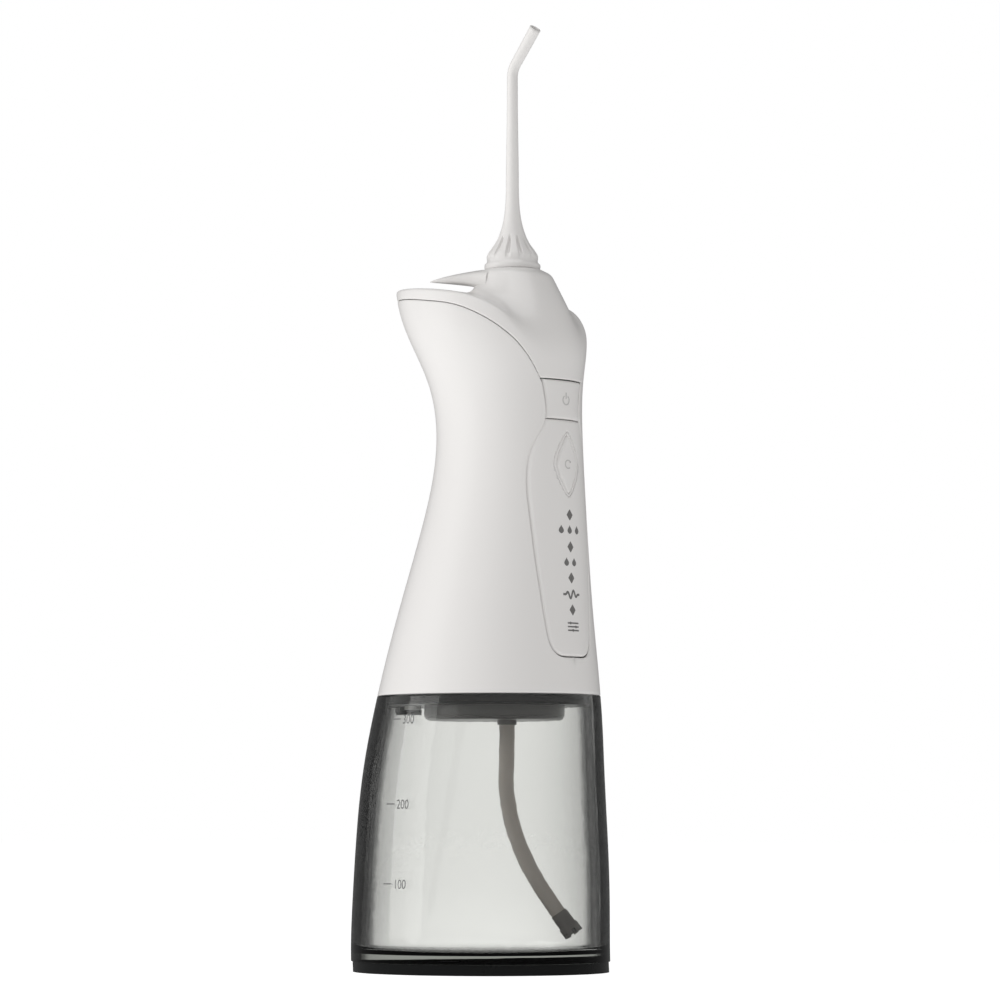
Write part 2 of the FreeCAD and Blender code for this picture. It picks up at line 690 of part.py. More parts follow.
def make_suction_plate():
    """Round cover under the tray, with the stub that the suction hose hangs from."""
    low, high, radius = "dim.plate_foot", "dim.base_floor", "dim.plate_radius"
    profile = [("0", low), (radius + " - 1.2", low), (radius + " - 0.4", low + " + 0.5"),
               (radius + " - 0.4", low + " + 0.9"), (radius, low + " + 1.1"), (radius, high), ("0", high)]
    disc = turned("PlateDisc", profile, (0, "dim.plate_y", 0))
    bore = rod("PlateBore", "2.6", "8", (0, "dim.suction_y", low + " - 1"))
    keep("suction_plate", cut("SuctionPlate", disc, bore))
    stub = [("1.1", "dim.hose_top"), ("3.1", "dim.hose_top"), ("3.1", low), ("2.55", low),
            ("2.55", "dim.base_floor + 2.2"), ("1.1", "dim.base_floor + 2.2")]
    keep("suction_stub", turned("SuctionStub", stub, (0, "dim.suction_y", 0)))


# Route of the suction hose in its own upright plane: (out from the stub, height).
HOSE_ROUTE = ((0, 78.2), (0, 68.5), (-0.5, 57), (1.8, 45.5), (6.4, 34.5), (12.4, 24.6), (16.9, 18.6))
HOSE_HEADING = Vector(0.42, -0.907, 0)


def hose_point(out, height):
    """Point of the suction hose, from its place in the plane that it curves in."""
    way = Vector(HOSE_HEADING).normalize()
    return Vector(0, size("dim.suction_y"), height) + way * out


def make_suction_hose():
    """Silicone suction hose that curves to the foot of the tank, and the filter head on its end."""
    points = [hose_point(out, height) for out, height in HOSE_ROUTE]
    keep("suction_hose", tube("SuctionHose", points, size("dim.hose_radius")))
    ahead = (points[-1] - points[-2]).normalize()
    end = points[-1]
    neck = Part.makeCylinder(2.75, 4.6, end, ahead)
    collar = Part.makeCylinder(3.1, 3.2, end + ahead * 4.6, ahead)
    body = neck.fuse(collar)
    across = Part.makeBox(8, 1.3, 1.6, Vector(-4, -0.65, 0))
    for turn in (0, 60, 120):
        slot = across.copy()
        slot.Placement = Placement(end + ahead * 6.4, Rotation(Vector(0, 0, 1), ahead).multiply(
            Rotation(Vector(0, 0, 1), turn)))
        body = body.cut(slot)
    keep("hose_filter", shaped("HoseFilter", body))


# ---------------------------------------------------------------- pump and drive

def make_pump_frame():
    """Moulded frame that carries the crank gear's axle, the motor and the pump cylinder."""
    y0, y1 = -26.6, "dim.motor_front"
    low, high = "dim.pump_floor - 1.8", 142
    walls = [box("FrameFront", (-14, 14), (y0, "%s + 1.6" % y0), (low, high)),
             box("FrameLeft", (-14, -12.2), (y0, y1), (low, high)),
             box("FrameRight", (12.2, 14), (y0, y1), (low, high)),
             box("FrameRear", (-14, 14), ("dim.motor_front - 1.6", y1), (107, high)),
             box("FrameFloor", (-14, 14), (y0, -11.5), (low, "dim.pump_floor"))]
    holes = [rod("AxleHole", "1", "6", (0, -28, "dim.crank_height"), "Y"),
             rod("BossHole", "3.3", "6", (0, -19, "dim.crank_height + 12"), "Y"),
             rod("PortHole", "1.5", "6", (0, "dim.pump_y", "dim.pump_floor - 4"))]
    keep("pump_frame", cut("PumpFrame", join("FrameWalls", *walls), *holes))


def make_valve_block():
    """Valve block between the suction stub, the cylinder and the outlet hose."""
    low, high = "dim.base_floor + 2.2", "dim.pump_floor - 1.8"
    block = box("BlockBlank", (-9, 9), (-27, -6), (low, high))
    arm = box("BlockArm", (-20, -8), (-22, -16), (low, high))
    inlet = rod("InletPocket", "3", "2.4", (0, "dim.suction_y", high + " - 3"))
    outlet = rod("OutletPocket", "3", "2.4", (0, "dim.pump_y", high + " - 3"))
    port = rod("InletPort", "1.2", "10", (0, "dim.suction_y", low + " - 1"))
    keep("valve_block", cut("ValveBlock", join("BlockBody", block, arm), inlet, outlet, port))
    keep("inlet_valve", rod("InletValve", "2.8", "1.6", (0, "dim.suction_y", high + " - 2.9")))
    keep("outlet_valve", rod("OutletValve", "2.8", "1.6", (0, "dim.pump_y", high + " - 2.9")))


def make_pump():
    """Pump cylinder, and its skirted piston with a seal ring."""
    floor = "dim.pump_floor"
    bore = "dim.pump_bore"
    cup = [("1.2", floor), ("5.8", floor), ("5.8", floor + " + 9.2"), (bore, floor + " + 9.2"),
           (bore, floor + " + 1.2"), ("1.2", floor + " + 1.2")]
    keep("pump_cylinder", turned("PumpCylinder", cup, (0, "dim.pump_y", 0)))
    crown = "dim.crank_height - dim.rod_length - 6"
    skirt = bore + " - 0.08"
    shape = [("0", crown), (skirt, crown), (skirt, crown + " + 1"), (skirt + " - 0.6", crown + " + 1"),
             (skirt + " - 0.6", crown + " + 1.9"), (skirt, crown + " + 1.9"), (skirt, crown + " + 6.1"),
             ("3.25", crown + " + 6.1"), ("3.25", crown + " + 1.3"), ("0", crown + " + 1.3")]
    keep("piston", turned("Piston", shape, (0, "dim.pump_y", 0)))
    ring = [(skirt + " - 0.55", crown + " + 1.05"), (bore + " - 0.02", crown + " + 1.05"),
            (bore + " - 0.02", crown + " + 1.85"), (skirt + " - 0.55", crown + " + 1.85")]
    keep("piston_seal", turned("PistonSeal", ring, (0, "dim.pump_y", 0)))


def toothed(name, teeth, phase):
    """Flat outline of a spur wheel with straight-flanked teeth, thinned so that a pair runs free."""
    module = size("dim.gear_module")
    pitch = module * teeth / 2
    tip, root = pitch + 0.85 * module, pitch - 1.2 * module
    step = 2 * math.pi / teeth
    points = []
    for i in range(teeth):
        middle = i * step + phase
        for radius, share in ((root, -0.3), (tip, -0.11), (tip, 0.11), (root, 0.3)):
            turn = middle + share * step
            points.append(Vector(radius * math.cos(turn), 0, radius * math.sin(turn)))
    face = Part.Face(Part.makePolygon(points + points[:1]))
    return face.extrude(Vector(0, size("dim.gear_width"), 0))


def make_gears():
    """Crank gear with its eccentric pin, the axle it turns on, and the motor's pinion and shaft."""
    height, front = "dim.crank_height", "dim.gear_front"
    wheel = shaped("GearTeeth", toothed("GearTeeth", int(size("dim.gear_teeth")), math.pi / 2))
    place(wheel, (0, front, height))
    hub = rod("GearHub", "2.6", "0.8", (0, front + " - 0.8", height), "Y")
    pin = rod("CrankPin", "1.5", "3.1", ("dim.crank_throw", front + " + dim.gear_width", height), "Y")
    bore = rod("GearBore", "1.05", "3.4", (0, front + " - 1", height), "Y")
    keep("crank_gear", cut("CrankGear", join("GearBlank", wheel, hub, pin), bore))
    keep("gear_axle", rod("GearAxle", "1", "4.6", (0, -26.6, height), "Y"))
    spacing = "dim.gear_module * (dim.gear_teeth + dim.pinion_teeth) / 2"
    shaft_height = height + " + " + spacing
    turn = -math.pi / 2 + math.pi / size("dim.pinion_teeth")
    pinion = shaped("PinionTeeth", toothed("PinionTeeth", int(size("dim.pinion_teeth")), turn))
    place(pinion, (0, front, shaft_height))
    bore = rod("PinionBore", "0.75", "5", (0, front + " - 1", shaft_height), "Y")
    keep("motor_pinion", cut("MotorPinion", pinion, bore))
    shaft = rod("MotorShaft", "0.75", "8.4", (0, front + " - 0.4", shaft_height), "Y")
    keep("motor_shaft", shaft)


def make_connecting_rod():
    """Connecting rod: a ring on the crank pin, a flat bar and a ball in the piston."""
    height, y = size("dim.crank_height"), size("dim.pump_y")
    x, low = size("dim.crank_throw"), size("dim.crank_height - dim.rod_length")
    ring = Part.makeCylinder(3, 2.4, Vector(x, y - 1.2, height), Vector(0, 1, 0))
    bar = Part.makeBox(2, 2.4, height - low - 0.5, Vector(x - 1, y - 1.2, low + 0.5))
    ball = Part.makeSphere(1.35, Vector(x, y, low))
    eye = Part.makeCylinder(1.55, 4, Vector(x, y - 2, height), Vector(0, 1, 0))
    keep("connecting_rod", shaped("ConnectingRod", ring.fuse([bar, ball]).cut(eye)))


def make_motor():
    """Direct-current motor: drawn can, front boss and rear cap in one shell round the shaft."""
    front, length = "dim.motor_front", "dim.motor_length"
    axis = "dim.crank_height + 12"
    can = rod("MotorCan", "dim.motor_radius", length, (0, front, axis), "Y")
    boss = rod("MotorBoss", "3.2", "1.6", (0, front + " - 1.6", axis), "Y")
    bore = rod("MotorBore", "0.85", "6", (0, front + " - 2", axis), "Y")
    keep("motor", cut("Motor", join("MotorBody", can, boss), bore))


def make_cell():
    """Rechargeable cell in an open-sided cradle."""
    low, length, y = "dim.cell_foot", "dim.cell_length", "dim.cell_y"
    profile = [("0", low), ("dim.cell_radius", low), ("dim.cell_radius", low + " + " + length + " - 1"),
               ("3", low + " + " + length + " - 1"), ("3", low + " + " + length), ("0", low + " + " + length)]
    keep("battery_cell", turned("BatteryCell", profile, (0, y, 0)))
    cup = rod("CradleBlank", "dim.cell_radius + 1.3", "46", (0, y, low + " - 1.4"))
    hollow = rod("CradleHollow", "dim.cell_radius + 0.1", "60", (0, y, low))
    side = box("CradleSide", (-20, 20), ("dim.cell_y - 20", "dim.cell_y - 4"), (low, low + " + 60"))
    keep("battery_cradle", cut("BatteryCradle", cup, hollow, side))


def make_outlet_hose():
    """Pressure hose from the valve block, up beside the pump and the cell, to the nozzle socket."""
    x, y = -17.4, -19
    top = size("dim.socket_foot - 3")
    nozzle_y = size("dim.nozzle_y")
    points = [Vector(x, y, size("dim.pump_floor - 1.8")), Vector(x, y, 152), Vector(-10, y - 1, 168),
              Vector(-2, y + 1.5, 181), Vector(0, nozzle_y, 189), Vector(0, nozzle_y, top)]
    keep("outlet_hose", tube("OutletHose", points, 2.2, 1.1))


def make_charging(skin):
    """Charging socket behind the back wall, and the soft cover flush in its hole."""
    keep("charging_socket", box("ChargingSocket", (-5.2, 5.2), (19, 25), (99.5, 106.5)))
    keep("charging_cover", common("ChargingCover", skin, box("CoverBar", (-6, 6), (10, 40), (98, 110))))


def make_screws():
    """Self-tapping screws, in groups of like ones."""
    def screw(name, at, long):
        x, y, z = at
        return turned(name, [("0", z), ("1.9", z), ("1.9", z + 1.2), ("0.9", z + 1.2), ("0.9", z + long),
                             ("0", z + long)], (x, y, 0))
    spots = ((-18, 10), (18, 10), (-22, -12), (22, -12))
    base = [screw("BaseScrew%d" % i, (x, y, size("dim.base_floor + 2.2")), 3) for i, (x, y) in enumerate(spots)]
    keep("base_screws", group("BaseScrews", base))


def build():
    """Make every sub-part, from the tank up."""
    make_tank()
    make_tank_foot()
    skin = make_skin()
    make_housing(skin)
    plate = make_panel(skin)
    make_power_button(plate)
    make_mode_button(skin)
    make_board()
    make_head_cover()
    make_release_button()
    make_latch()
    make_nozzle_socket()
    make_nozzle_seat()
    make_nozzle()
    make_handle_base()
    make_suction_plate()
    make_suction_hose()
    make_pump_frame()
    make_valve_block()
    make_pump()
    make_gears()
    make_connecting_rod()
    make_motor()
    make_cell()
    make_outlet_hose()
    make_charging(skin)
    make_screws()
    doc.recompute()


def check_and_write():
    """Stop on a failed object or a bad shape, then write each sub-part to its own file."""
    failed = [item.Label + " " + item.getStatusString() for item in doc.Objects if "Invalid" in item.State or "Error" in item.State]
    if failed:
        raise RuntimeError("failed objects: " + ", ".join(failed))
    for item in parts:
        if item.Shape.isNull() or not item.Shape.isValid() or not item.Shape.Solids:
            raise RuntimeError("bad shape: " + item.Label)
    os.makedirs("parts", exist_ok=True)
    for item in parts:
        item.Shape.exportStep(os.path.join("parts", item.Label + ".step"))
        print("%-18s solids %d volume %.0f" % (item.Label, len(item.Shape.Solids), item.Shape.Volume))


build()
check_and_write()
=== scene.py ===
"""Cordless water flosser in its studio: handle, smoke-clear tank and jet nozzle.

Runs from top to bottom in the order in which the object is put together.
"""
import math

import bmesh
import bpy
import numpy as np
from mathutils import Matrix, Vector


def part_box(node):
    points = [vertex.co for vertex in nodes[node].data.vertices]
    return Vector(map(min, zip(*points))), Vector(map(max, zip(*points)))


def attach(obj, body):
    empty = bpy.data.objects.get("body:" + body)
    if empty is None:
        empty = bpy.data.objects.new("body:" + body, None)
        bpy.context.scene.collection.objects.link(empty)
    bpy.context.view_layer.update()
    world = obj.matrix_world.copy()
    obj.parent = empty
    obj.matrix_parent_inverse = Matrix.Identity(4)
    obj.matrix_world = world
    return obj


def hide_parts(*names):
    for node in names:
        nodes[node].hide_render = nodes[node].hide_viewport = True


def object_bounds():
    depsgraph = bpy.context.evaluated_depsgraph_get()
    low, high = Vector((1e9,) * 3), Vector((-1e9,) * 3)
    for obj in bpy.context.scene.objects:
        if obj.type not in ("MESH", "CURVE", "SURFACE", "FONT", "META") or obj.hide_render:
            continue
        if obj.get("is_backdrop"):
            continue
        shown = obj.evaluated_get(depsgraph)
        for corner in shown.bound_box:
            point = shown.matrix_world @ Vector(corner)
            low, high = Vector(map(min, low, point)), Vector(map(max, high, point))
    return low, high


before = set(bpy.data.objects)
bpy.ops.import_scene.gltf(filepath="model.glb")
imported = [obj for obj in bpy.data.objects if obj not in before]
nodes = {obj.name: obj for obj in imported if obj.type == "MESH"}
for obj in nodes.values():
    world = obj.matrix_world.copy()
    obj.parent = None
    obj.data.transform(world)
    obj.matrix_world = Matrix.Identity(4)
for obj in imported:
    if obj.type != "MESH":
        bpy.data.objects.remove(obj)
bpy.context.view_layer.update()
scene = bpy.context.scene
MM = 0.001

# ------------------------------------------------------------------ studio
# The flosser stands on a plain pale table in a white room. A long lens sees it from its left
# front, from just above the table; a wide soft light stands at the left and a softer one above.
scene.view_settings.view_transform = "Standard"
TURN = math.radians(-49)
DISTANCE = 1.34
EYE_HEIGHT = 0.048
FRAME_WIDTH = 0.32
SENSOR = 36
ASIDE = 0.0061
AIM_HEIGHT = 0.1505
BODY_MIDDLE = (0, 0, 0.15)
right_hand = np.array([math.cos(TURN), math.sin(TURN), 0.0])
toward_eye = np.array([math.sin(TURN), -math.cos(TURN), 0.0])
aim = right_hand * ASIDE + np.array([0, 0, AIM_HEIGHT])
stand = right_hand * ASIDE + toward_eye * DISTANCE + np.array([0, 0, EYE_HEIGHT])


def look_from(thing, place, target):
    """Stand a light or camera at a place, its own -Z towards the target and its +Y upward."""
    thing.location = place
    heading = Vector(target) - Vector(place)
    thing.rotation_euler = heading.to_track_quat("-Z", "Y").to_euler()
    scene.collection.objects.link(thing)


lens = bpy.data.cameras.new("camera")
lens.sensor_width = SENSOR
lens.lens = SENSOR * DISTANCE / FRAME_WIDTH
lens.clip_start = 0.05
camera = bpy.data.objects.new("camera", lens)
look_from(camera, stand, aim)
scene.camera = camera


def soft_light(name, place, target, width, height, power):
    """Rectangular soft light of a width and height in metres and a power in watts."""
    light = bpy.data.lights.new(name, "AREA")
    light.shape = "RECTANGLE"
    light.size = width
    light.size_y = height
    light.energy = power
    lamp = bpy.data.objects.new(name, light)
    look_from(lamp, place, target)
    return lamp


window_place = -right_hand * 1.2 + toward_eye * 0.25 + np.array([0, 0, 0.4])
window = soft_light("left_window", window_place, BODY_MIDDLE, 0.8, 1.2, 9.5)
window.visible_glossy = False
soft_light("overhead", (-0.2, -0.2, 1.3), BODY_MIDDLE, 1.0, 1.0, 4)

room = bpy.data.worlds.new("white_room")
scene.world = room
room.use_nodes = True
air = room.node_tree
air.nodes.clear()


def room_tone(strength, colour):
    """Plain background light of a strength and colour."""
    tone = air.nodes.new("ShaderNodeBackground")
    tone.inputs["Color"].default_value = colour
    tone.inputs["Strength"].default_value = strength
    return tone


def either_tone(chooser, usual, chosen):
    """One tone as a rule, and another for the rays that the chooser picks."""
    either = air.nodes.new("ShaderNodeMixShader")
    air.links.new(chooser, either.inputs["Fac"])
    air.links.new(usual.outputs[0], either.inputs[1])
    air.links.new(chosen.outputs[0], either.inputs[2])
    return either


# The room looks white, lights the object softly, and is dim in its reflections, as behind flags.
seen = room_tone(1.0, (1, 1, 1, 1))
lit = room_tone(0.33, (1, 0.99, 0.985, 1))
dim = room_tone(0.13, (1, 1, 1, 1))
ray = air.nodes.new("ShaderNodeLightPath")
straight = air.nodes.new("ShaderNodeMath")
straight.operation = "MAXIMUM"
air.links.new(ray.outputs["Is Camera Ray"], straight.inputs[0])
air.links.new(ray.outputs["Is Transmission Ray"], straight.inputs[1])
room_light = either_tone(straight.outputs[0], either_tone(ray.outputs["Is Glossy Ray"], lit, dim), seen)
sky = air.nodes.new("ShaderNodeOutputWorld")
air.links.new(room_light.outputs[0], sky.inputs["Surface"])

table_mesh = bpy.data.meshes.new("table")
TABLE = 6
table_mesh.from_pydata([(-TABLE, -TABLE, 0), (TABLE, -TABLE, 0), (TABLE, TABLE, 0), (-TABLE, TABLE, 0)], [],
                       [(0, 1, 2, 3)])
table = bpy.data.objects.new("table", table_mesh)
scene.collection.objects.link(table)
table_white = bpy.data.materials.new("table_white")
table_white.use_nodes = True
board = table_white.node_tree.nodes["Principled BSDF"]
board.inputs["Base Color"].default_value = (0.4, 0.4, 0.4, 1)
board.inputs["Roughness"].default_value = 0.9
board.inputs["Emission Color"].default_value = (1, 1, 1, 1)
board.inputs["Emission Strength"].default_value = 0.89
table.data.materials.append(table_white)
table.visible_glossy = False
table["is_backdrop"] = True

# ------------------------------------------------------------------ tank
# The tank is one open pot injection moulded in smoke-clear polycarbonate, 3 mm thick. The
# moulded wall is glossy and very slightly wavy. Where it is seen edge on, its colour is darkened:
# painted shade that stands in for the dark reflections along its edges.


def node_at(tree, kind, **settings):
    """New shader node with properties or, by socket name, input values."""
    node = tree.nodes.new(kind)
    for key, value in settings.items():
        socket = key.replace("_", " ").title()
        if socket in node.inputs:
            node.inputs[socket].default_value = value
        else:
            setattr(node, key, value)
    return node


def make_surface_group():
    """Node group 'moulded_surface': cloudy tone, fine grain height and handling marks in the gloss.

    Shade is one plus slow noise times Tone, Gloss is Roughness plus smeared noise times Marks, and
    Height is fine noise of the Grain Size. All of them read Object coordinates in metres.
    """
    group = bpy.data.node_groups.new("moulded_surface", "ShaderNodeTree")
    for name, kind, start in (("Tone", "NodeSocketFloat", 0.03), ("Roughness", "NodeSocketFloat", 0.3),
                              ("Marks", "NodeSocketFloat", 0.05), ("Grain Size", "NodeSocketFloat", 2500.0)):
        group.interface.new_socket(name, in_out="INPUT", socket_type=kind).default_value = start
    for name in ("Shade", "Gloss", "Height"):
        group.interface.new_socket(name, in_out="OUTPUT", socket_type="NodeSocketFloat")
    given = group.nodes.new("NodeGroupInput")
    result = group.nodes.new("NodeGroupOutput")
    place = group.nodes.new("ShaderNodeTexCoord")
    cloud = node_at(group, "ShaderNodeTexNoise", scale=28.0, detail=3.0)
    smear = node_at(group, "ShaderNodeTexNoise", scale=90.0, detail=5.0, roughness=0.65)
    grain = node_at(group, "ShaderNodeTexNoise", detail=2.0)
    for noise in (cloud, smear, grain):
        group.links.new(place.outputs["Object"], noise.inputs["Vector"])
    group.links.new(given.outputs["Grain Size"], grain.inputs["Scale"])

    def centred(noise, amount):
        """Noise taken to the range -1 to 1, times an amount."""
        shift = node_at(group, "ShaderNodeMath", operation="MULTIPLY_ADD")
        shift.inputs[1].default_value = 2.0
        shift.inputs[2].default_value = -1.0
        times = node_at(group, "ShaderNodeMath", operation="MULTIPLY")
        group.links.new(noise.outputs["Fac"], shift.inputs[0])
        group.links.new(shift.outputs[0], times.inputs[0])
        group.links.new(given.outputs[amount], times.inputs[1])
        return times
    shade = node_at(group, "ShaderNodeMath", operation="ADD")
    shade.inputs[1].default_value = 1.0
    group.links.new(centred(cloud, "Tone").outputs[0], shade.inputs[0])
    gloss = node_at(group, "ShaderNodeMath", operation="ADD", use_clamp=True)
    group.links.new(centred(smear, "Marks").outputs[0], gloss.inputs[0])
    group.links.new(given.outputs["Roughness"], gloss.inputs[1])
    group.links.new(shade.outputs[0], result.inputs["Shade"])
    group.links.new(gloss.outputs[0], result.inputs["Gloss"])
    group.links.new(grain.outputs["Fac"], result.inputs["Height"])
    return group


surface_group = make_surface_group()
GRAIN_HEIGHT = 0.2 * MM


def finish(name, colour, roughness, tone=0.03, marks=0.05, grain_size=2500.0, grain=0.02, **sockets):
    """Material from the moulded surface group: its colour is shaded, its gloss varied, its grain raised.

    Further words are sockets of the Principled shader, set on the shader itself.
    """
    material = bpy.data.materials.new(name)
    material.use_nodes = True
    tree = material.node_tree
    shader = tree.nodes["Principled BSDF"]
    marks_of = tree.nodes.new("ShaderNodeGroup")
    marks_of.node_tree = surface_group
    for socket, value in (("Tone", tone), ("Roughness", roughness), ("Marks", marks),
                          ("Grain Size", grain_size)):
        marks_of.inputs[socket].default_value = value
    shaded = node_at(tree, "ShaderNodeVectorMath", operation="SCALE")
    shaded.inputs[0].default_value = colour
    bump = node_at(tree, "ShaderNodeBump", strength=grain, distance=GRAIN_HEIGHT)
    tree.links.new(marks_of.outputs["Shade"], shaded.inputs["Scale"])
    tree.links.new(shaded.outputs[0], shader.inputs["Base Color"])
    tree.links.new(marks_of.outputs["Gloss"], shader.inputs["Roughness"])
    tree.links.new(marks_of.outputs["Height"], bump.inputs["Height"])
    tree.links.new(bump.outputs["Normal"], shader.inputs["Normal"])
    for socket, value in sockets.items():
        shader.inputs[socket.replace("_", " ")].default_value = value
    return material


def dress(material, *names):
    """Give CAD nodes a finish in place of the plain one they came with."""
    for name in names:
        for slot in nodes[name].material_slots:
            slot.material = material


SMOKE = (0.89, 0.893, 0.877)
SMOKE_DEPTH = (0.415, 0.435, 0.40, 1)
# How far the wall turns from the eye, and the painted shade there: the share of the glass colour kept.
WALL_TURN = (0, 0.09, 0.18, 0.3, 0.49, 0.56, 0.62)
WALL_PAINTED_SHADE = (1, 0.97, 0.9, 0.8, 0.58, 0.08, 0.0008)
smoke_clear_shaded_edges = finish("smoke_clear_shaded_edges", SMOKE, 0.03, tone=0.012, marks=0.02, grain_size=70.0, grain=0.05,
                     Transmission_Weight=1.0, IOR=1.5, Specular_Tint=(0.6, 0.6, 0.6, 1))
smoke_tree = smoke_clear_shaded_edges.node_tree
smoke_shader = smoke_tree.nodes["Principled BSDF"]
# Painted shade: the glass colour is darkened by how edge-on the wall is seen, in place of dark reflections.
edge_on = node_at(smoke_tree, "ShaderNodeLayerWeight", blend=0.5)
painted_edge_shade = node_at(smoke_tree, "ShaderNodeValToRGB")
while len(painted_edge_shade.color_ramp.elements) < len(WALL_TURN):
    painted_edge_shade.color_ramp.elements.new(0.5)
for stop, position, shade in zip(painted_edge_shade.color_ramp.elements, WALL_TURN, WALL_PAINTED_SHADE):
    stop.position = position
    stop.color = (shade, shade, shade, 1)
edge_shaded_colour = node_at(smoke_tree, "ShaderNodeMix", data_type="RGBA", blend_type="MULTIPLY")
edge_shaded_colour.inputs["Factor"].default_value = 1.0
smoke_tree.links.new(edge_on.outputs["Facing"], painted_edge_shade.inputs["Fac"])
smoke_tree.links.new(smoke_shader.inputs["Base Color"].links[0].from_socket, edge_shaded_colour.inputs["A"])
smoke_tree.links.new(painted_edge_shade.outputs["Color"], edge_shaded_colour.inputs["B"])
smoke_tree.links.new(edge_shaded_colour.outputs["Result"], smoke_shader.inputs["Base Color"])
smoke_body = node_at(smoke_tree, "ShaderNodeVolumeAbsorption", density=28.0)
smoke_body.inputs["Color"].default_value = SMOKE_DEPTH
smoke_tree.links.new(smoke_body.outputs[0], smoke_tree.nodes["Material Output"].inputs["Volume"])
dress(smoke_clear_shaded_edges, "tank_shell")

# The foot is a near-black ring moulded in the same smoke plastic, bonded under the floor. It is
# tinted so deeply that light hardly comes through.
foot_smoke = finish("foot_smoke", (0.008, 0.0085, 0.0085), 0.26, tone=0.2, marks=0.05,
                    Specular_IOR_Level=0.3)
dress(foot_smoke, "tank_foot")

# ------------------------------------------------------------------ graduations
# Ticks and numerals for 100, 200 and 300 millilitres are pad printed in grey ink on the tank's
# left side, the numerals a little condensed.
GRADUATIONS = ((79.7, "300"), (53.1, "200"), (28.2, "100"))
NUMERAL_HEIGHT = 3.0 * MM
INK_LIFT = 0.04 * MM
TICK_FROM, TICK_TO, TICK_WIDTH = -6.6 * MM, -2.8 * MM, 0.35 * MM
NUMERALS_FROM = -1.9 * MM
DIGIT_SHARE = 0.72
CONDENSED = 0.82
FAR_OUT = -60 * MM


def add_mesh(name, points, faces):
    """Object from arrays of points in metres and of faces."""
    mesh = bpy.data.meshes.new(name)
    mesh.from_pydata(np.asarray(points, dtype=float).tolist(), [], np.asarray(faces).tolist())
    mesh.update()
    thing = bpy.data.objects.new(name, mesh)
    scene.collection.objects.link(thing)
    return thing


def as_applied(thing, name):
    """Plain mesh of an object with its modifiers applied, under its final name."""
    bpy.context.view_layer.update()
    mesh = bpy.data.meshes.new_from_object(thing.evaluated_get(bpy.context.evaluated_depsgraph_get()))
    bpy.data.objects.remove(thing)
    mesh.name = name
    done = bpy.data.objects.new(name, mesh)
    scene.collection.objects.link(done)
    return done


def lay_on(thing, target, axis, lift, name, thickness=0.0):
    """Press a flat shape on to a piece along +X or +Y, a little proud of it, and thicken it outward."""
    wrap = thing.modifiers.new("wrap", "SHRINKWRAP")
    wrap.wrap_method = "PROJECT"
    wrap.use_project_x = axis == "X"
    wrap.use_project_y = axis == "Y"
    wrap.use_project_z = False
    wrap.target = target
    wrap.wrap_mode = "ABOVE_SURFACE"
    wrap.offset = lift
    if thickness:
        wall = thing.modifiers.new("wall", "SOLIDIFY")
        wall.thickness = thickness
        wall.offset = 1
    return as_applied(thing, name)


def ribbon(path, widths):
    """Flat strip along a path of (across, up) points: the path moved square to itself both ways by
    half its width, as two rows of points, and the faces between them."""
    path = np.asarray(path, dtype=float)
    ahead = np.gradient(path, axis=0)
    ahead /= np.linalg.norm(ahead, axis=1)[:, None]
    square = np.stack([-ahead[:, 1], ahead[:, 0]], axis=1)
    half = np.broadcast_to(np.asarray(widths, dtype=float) / 2, len(path))[:, None]
    rows = np.stack([path + square * half, path, path - square * half], axis=1)
    count = len(path)
    i, j = np.meshgrid(np.arange(count - 1), np.arange(2), indexing="ij")
    first = i * 3 + j
    faces = np.stack([first, first + 1, first + 4, first + 3], axis=-1).reshape(-1, 4)
    return rows.reshape(-1, 2), faces


def on_left(flat):
    """Flat (across, up) points stood up to face -X: across runs to -Y."""
    return np.stack([np.full(len(flat), FAR_OUT), -flat[:, 0], flat[:, 1]], axis=1)


def numerals(text, height, start):
    """Numerals as a flat mesh facing -X, centred in height on a (across, up) point where they start."""
    curve = bpy.data.curves.new(text, "FONT")
    curve.body = text
    curve.size = height / DIGIT_SHARE
    writing = bpy.data.objects.new(text, curve)
    scene.collection.objects.link(writing)
    writing = as_applied(writing, text)
    flat = np.array([corner.co[:2] for corner in writing.data.vertices])
    flat = flat * [CONDENSED, 1] + [start[0], start[1] - height / 2]
    writing.data.vertices.foreach_set("co", on_left(flat).ravel())
    return writing


scale_ink = finish("scale_ink", (0.15, 0.15, 0.15), 0.6, tone=0.08, grain_size=6000.0, grain=0.1)
tank_wall = nodes["tank_shell"]
for height, text in GRADUATIONS:
    strip, faces = ribbon(np.linspace([TICK_FROM, height * MM], [TICK_TO, height * MM], 8), TICK_WIDTH)
    tick = lay_on(add_mesh("tick", on_left(strip), faces), tank_wall, "X", INK_LIFT, "tick_" + text)
    digits = lay_on(numerals(text, NUMERAL_HEIGHT, (NUMERALS_FROM, height * MM)), tank_wall, "X", INK_LIFT,
                    "numeral_" + text)
    for print_piece in (tick, digits):
        print_piece.data.materials.append(scale_ink)
        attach(print_piece, "tank")

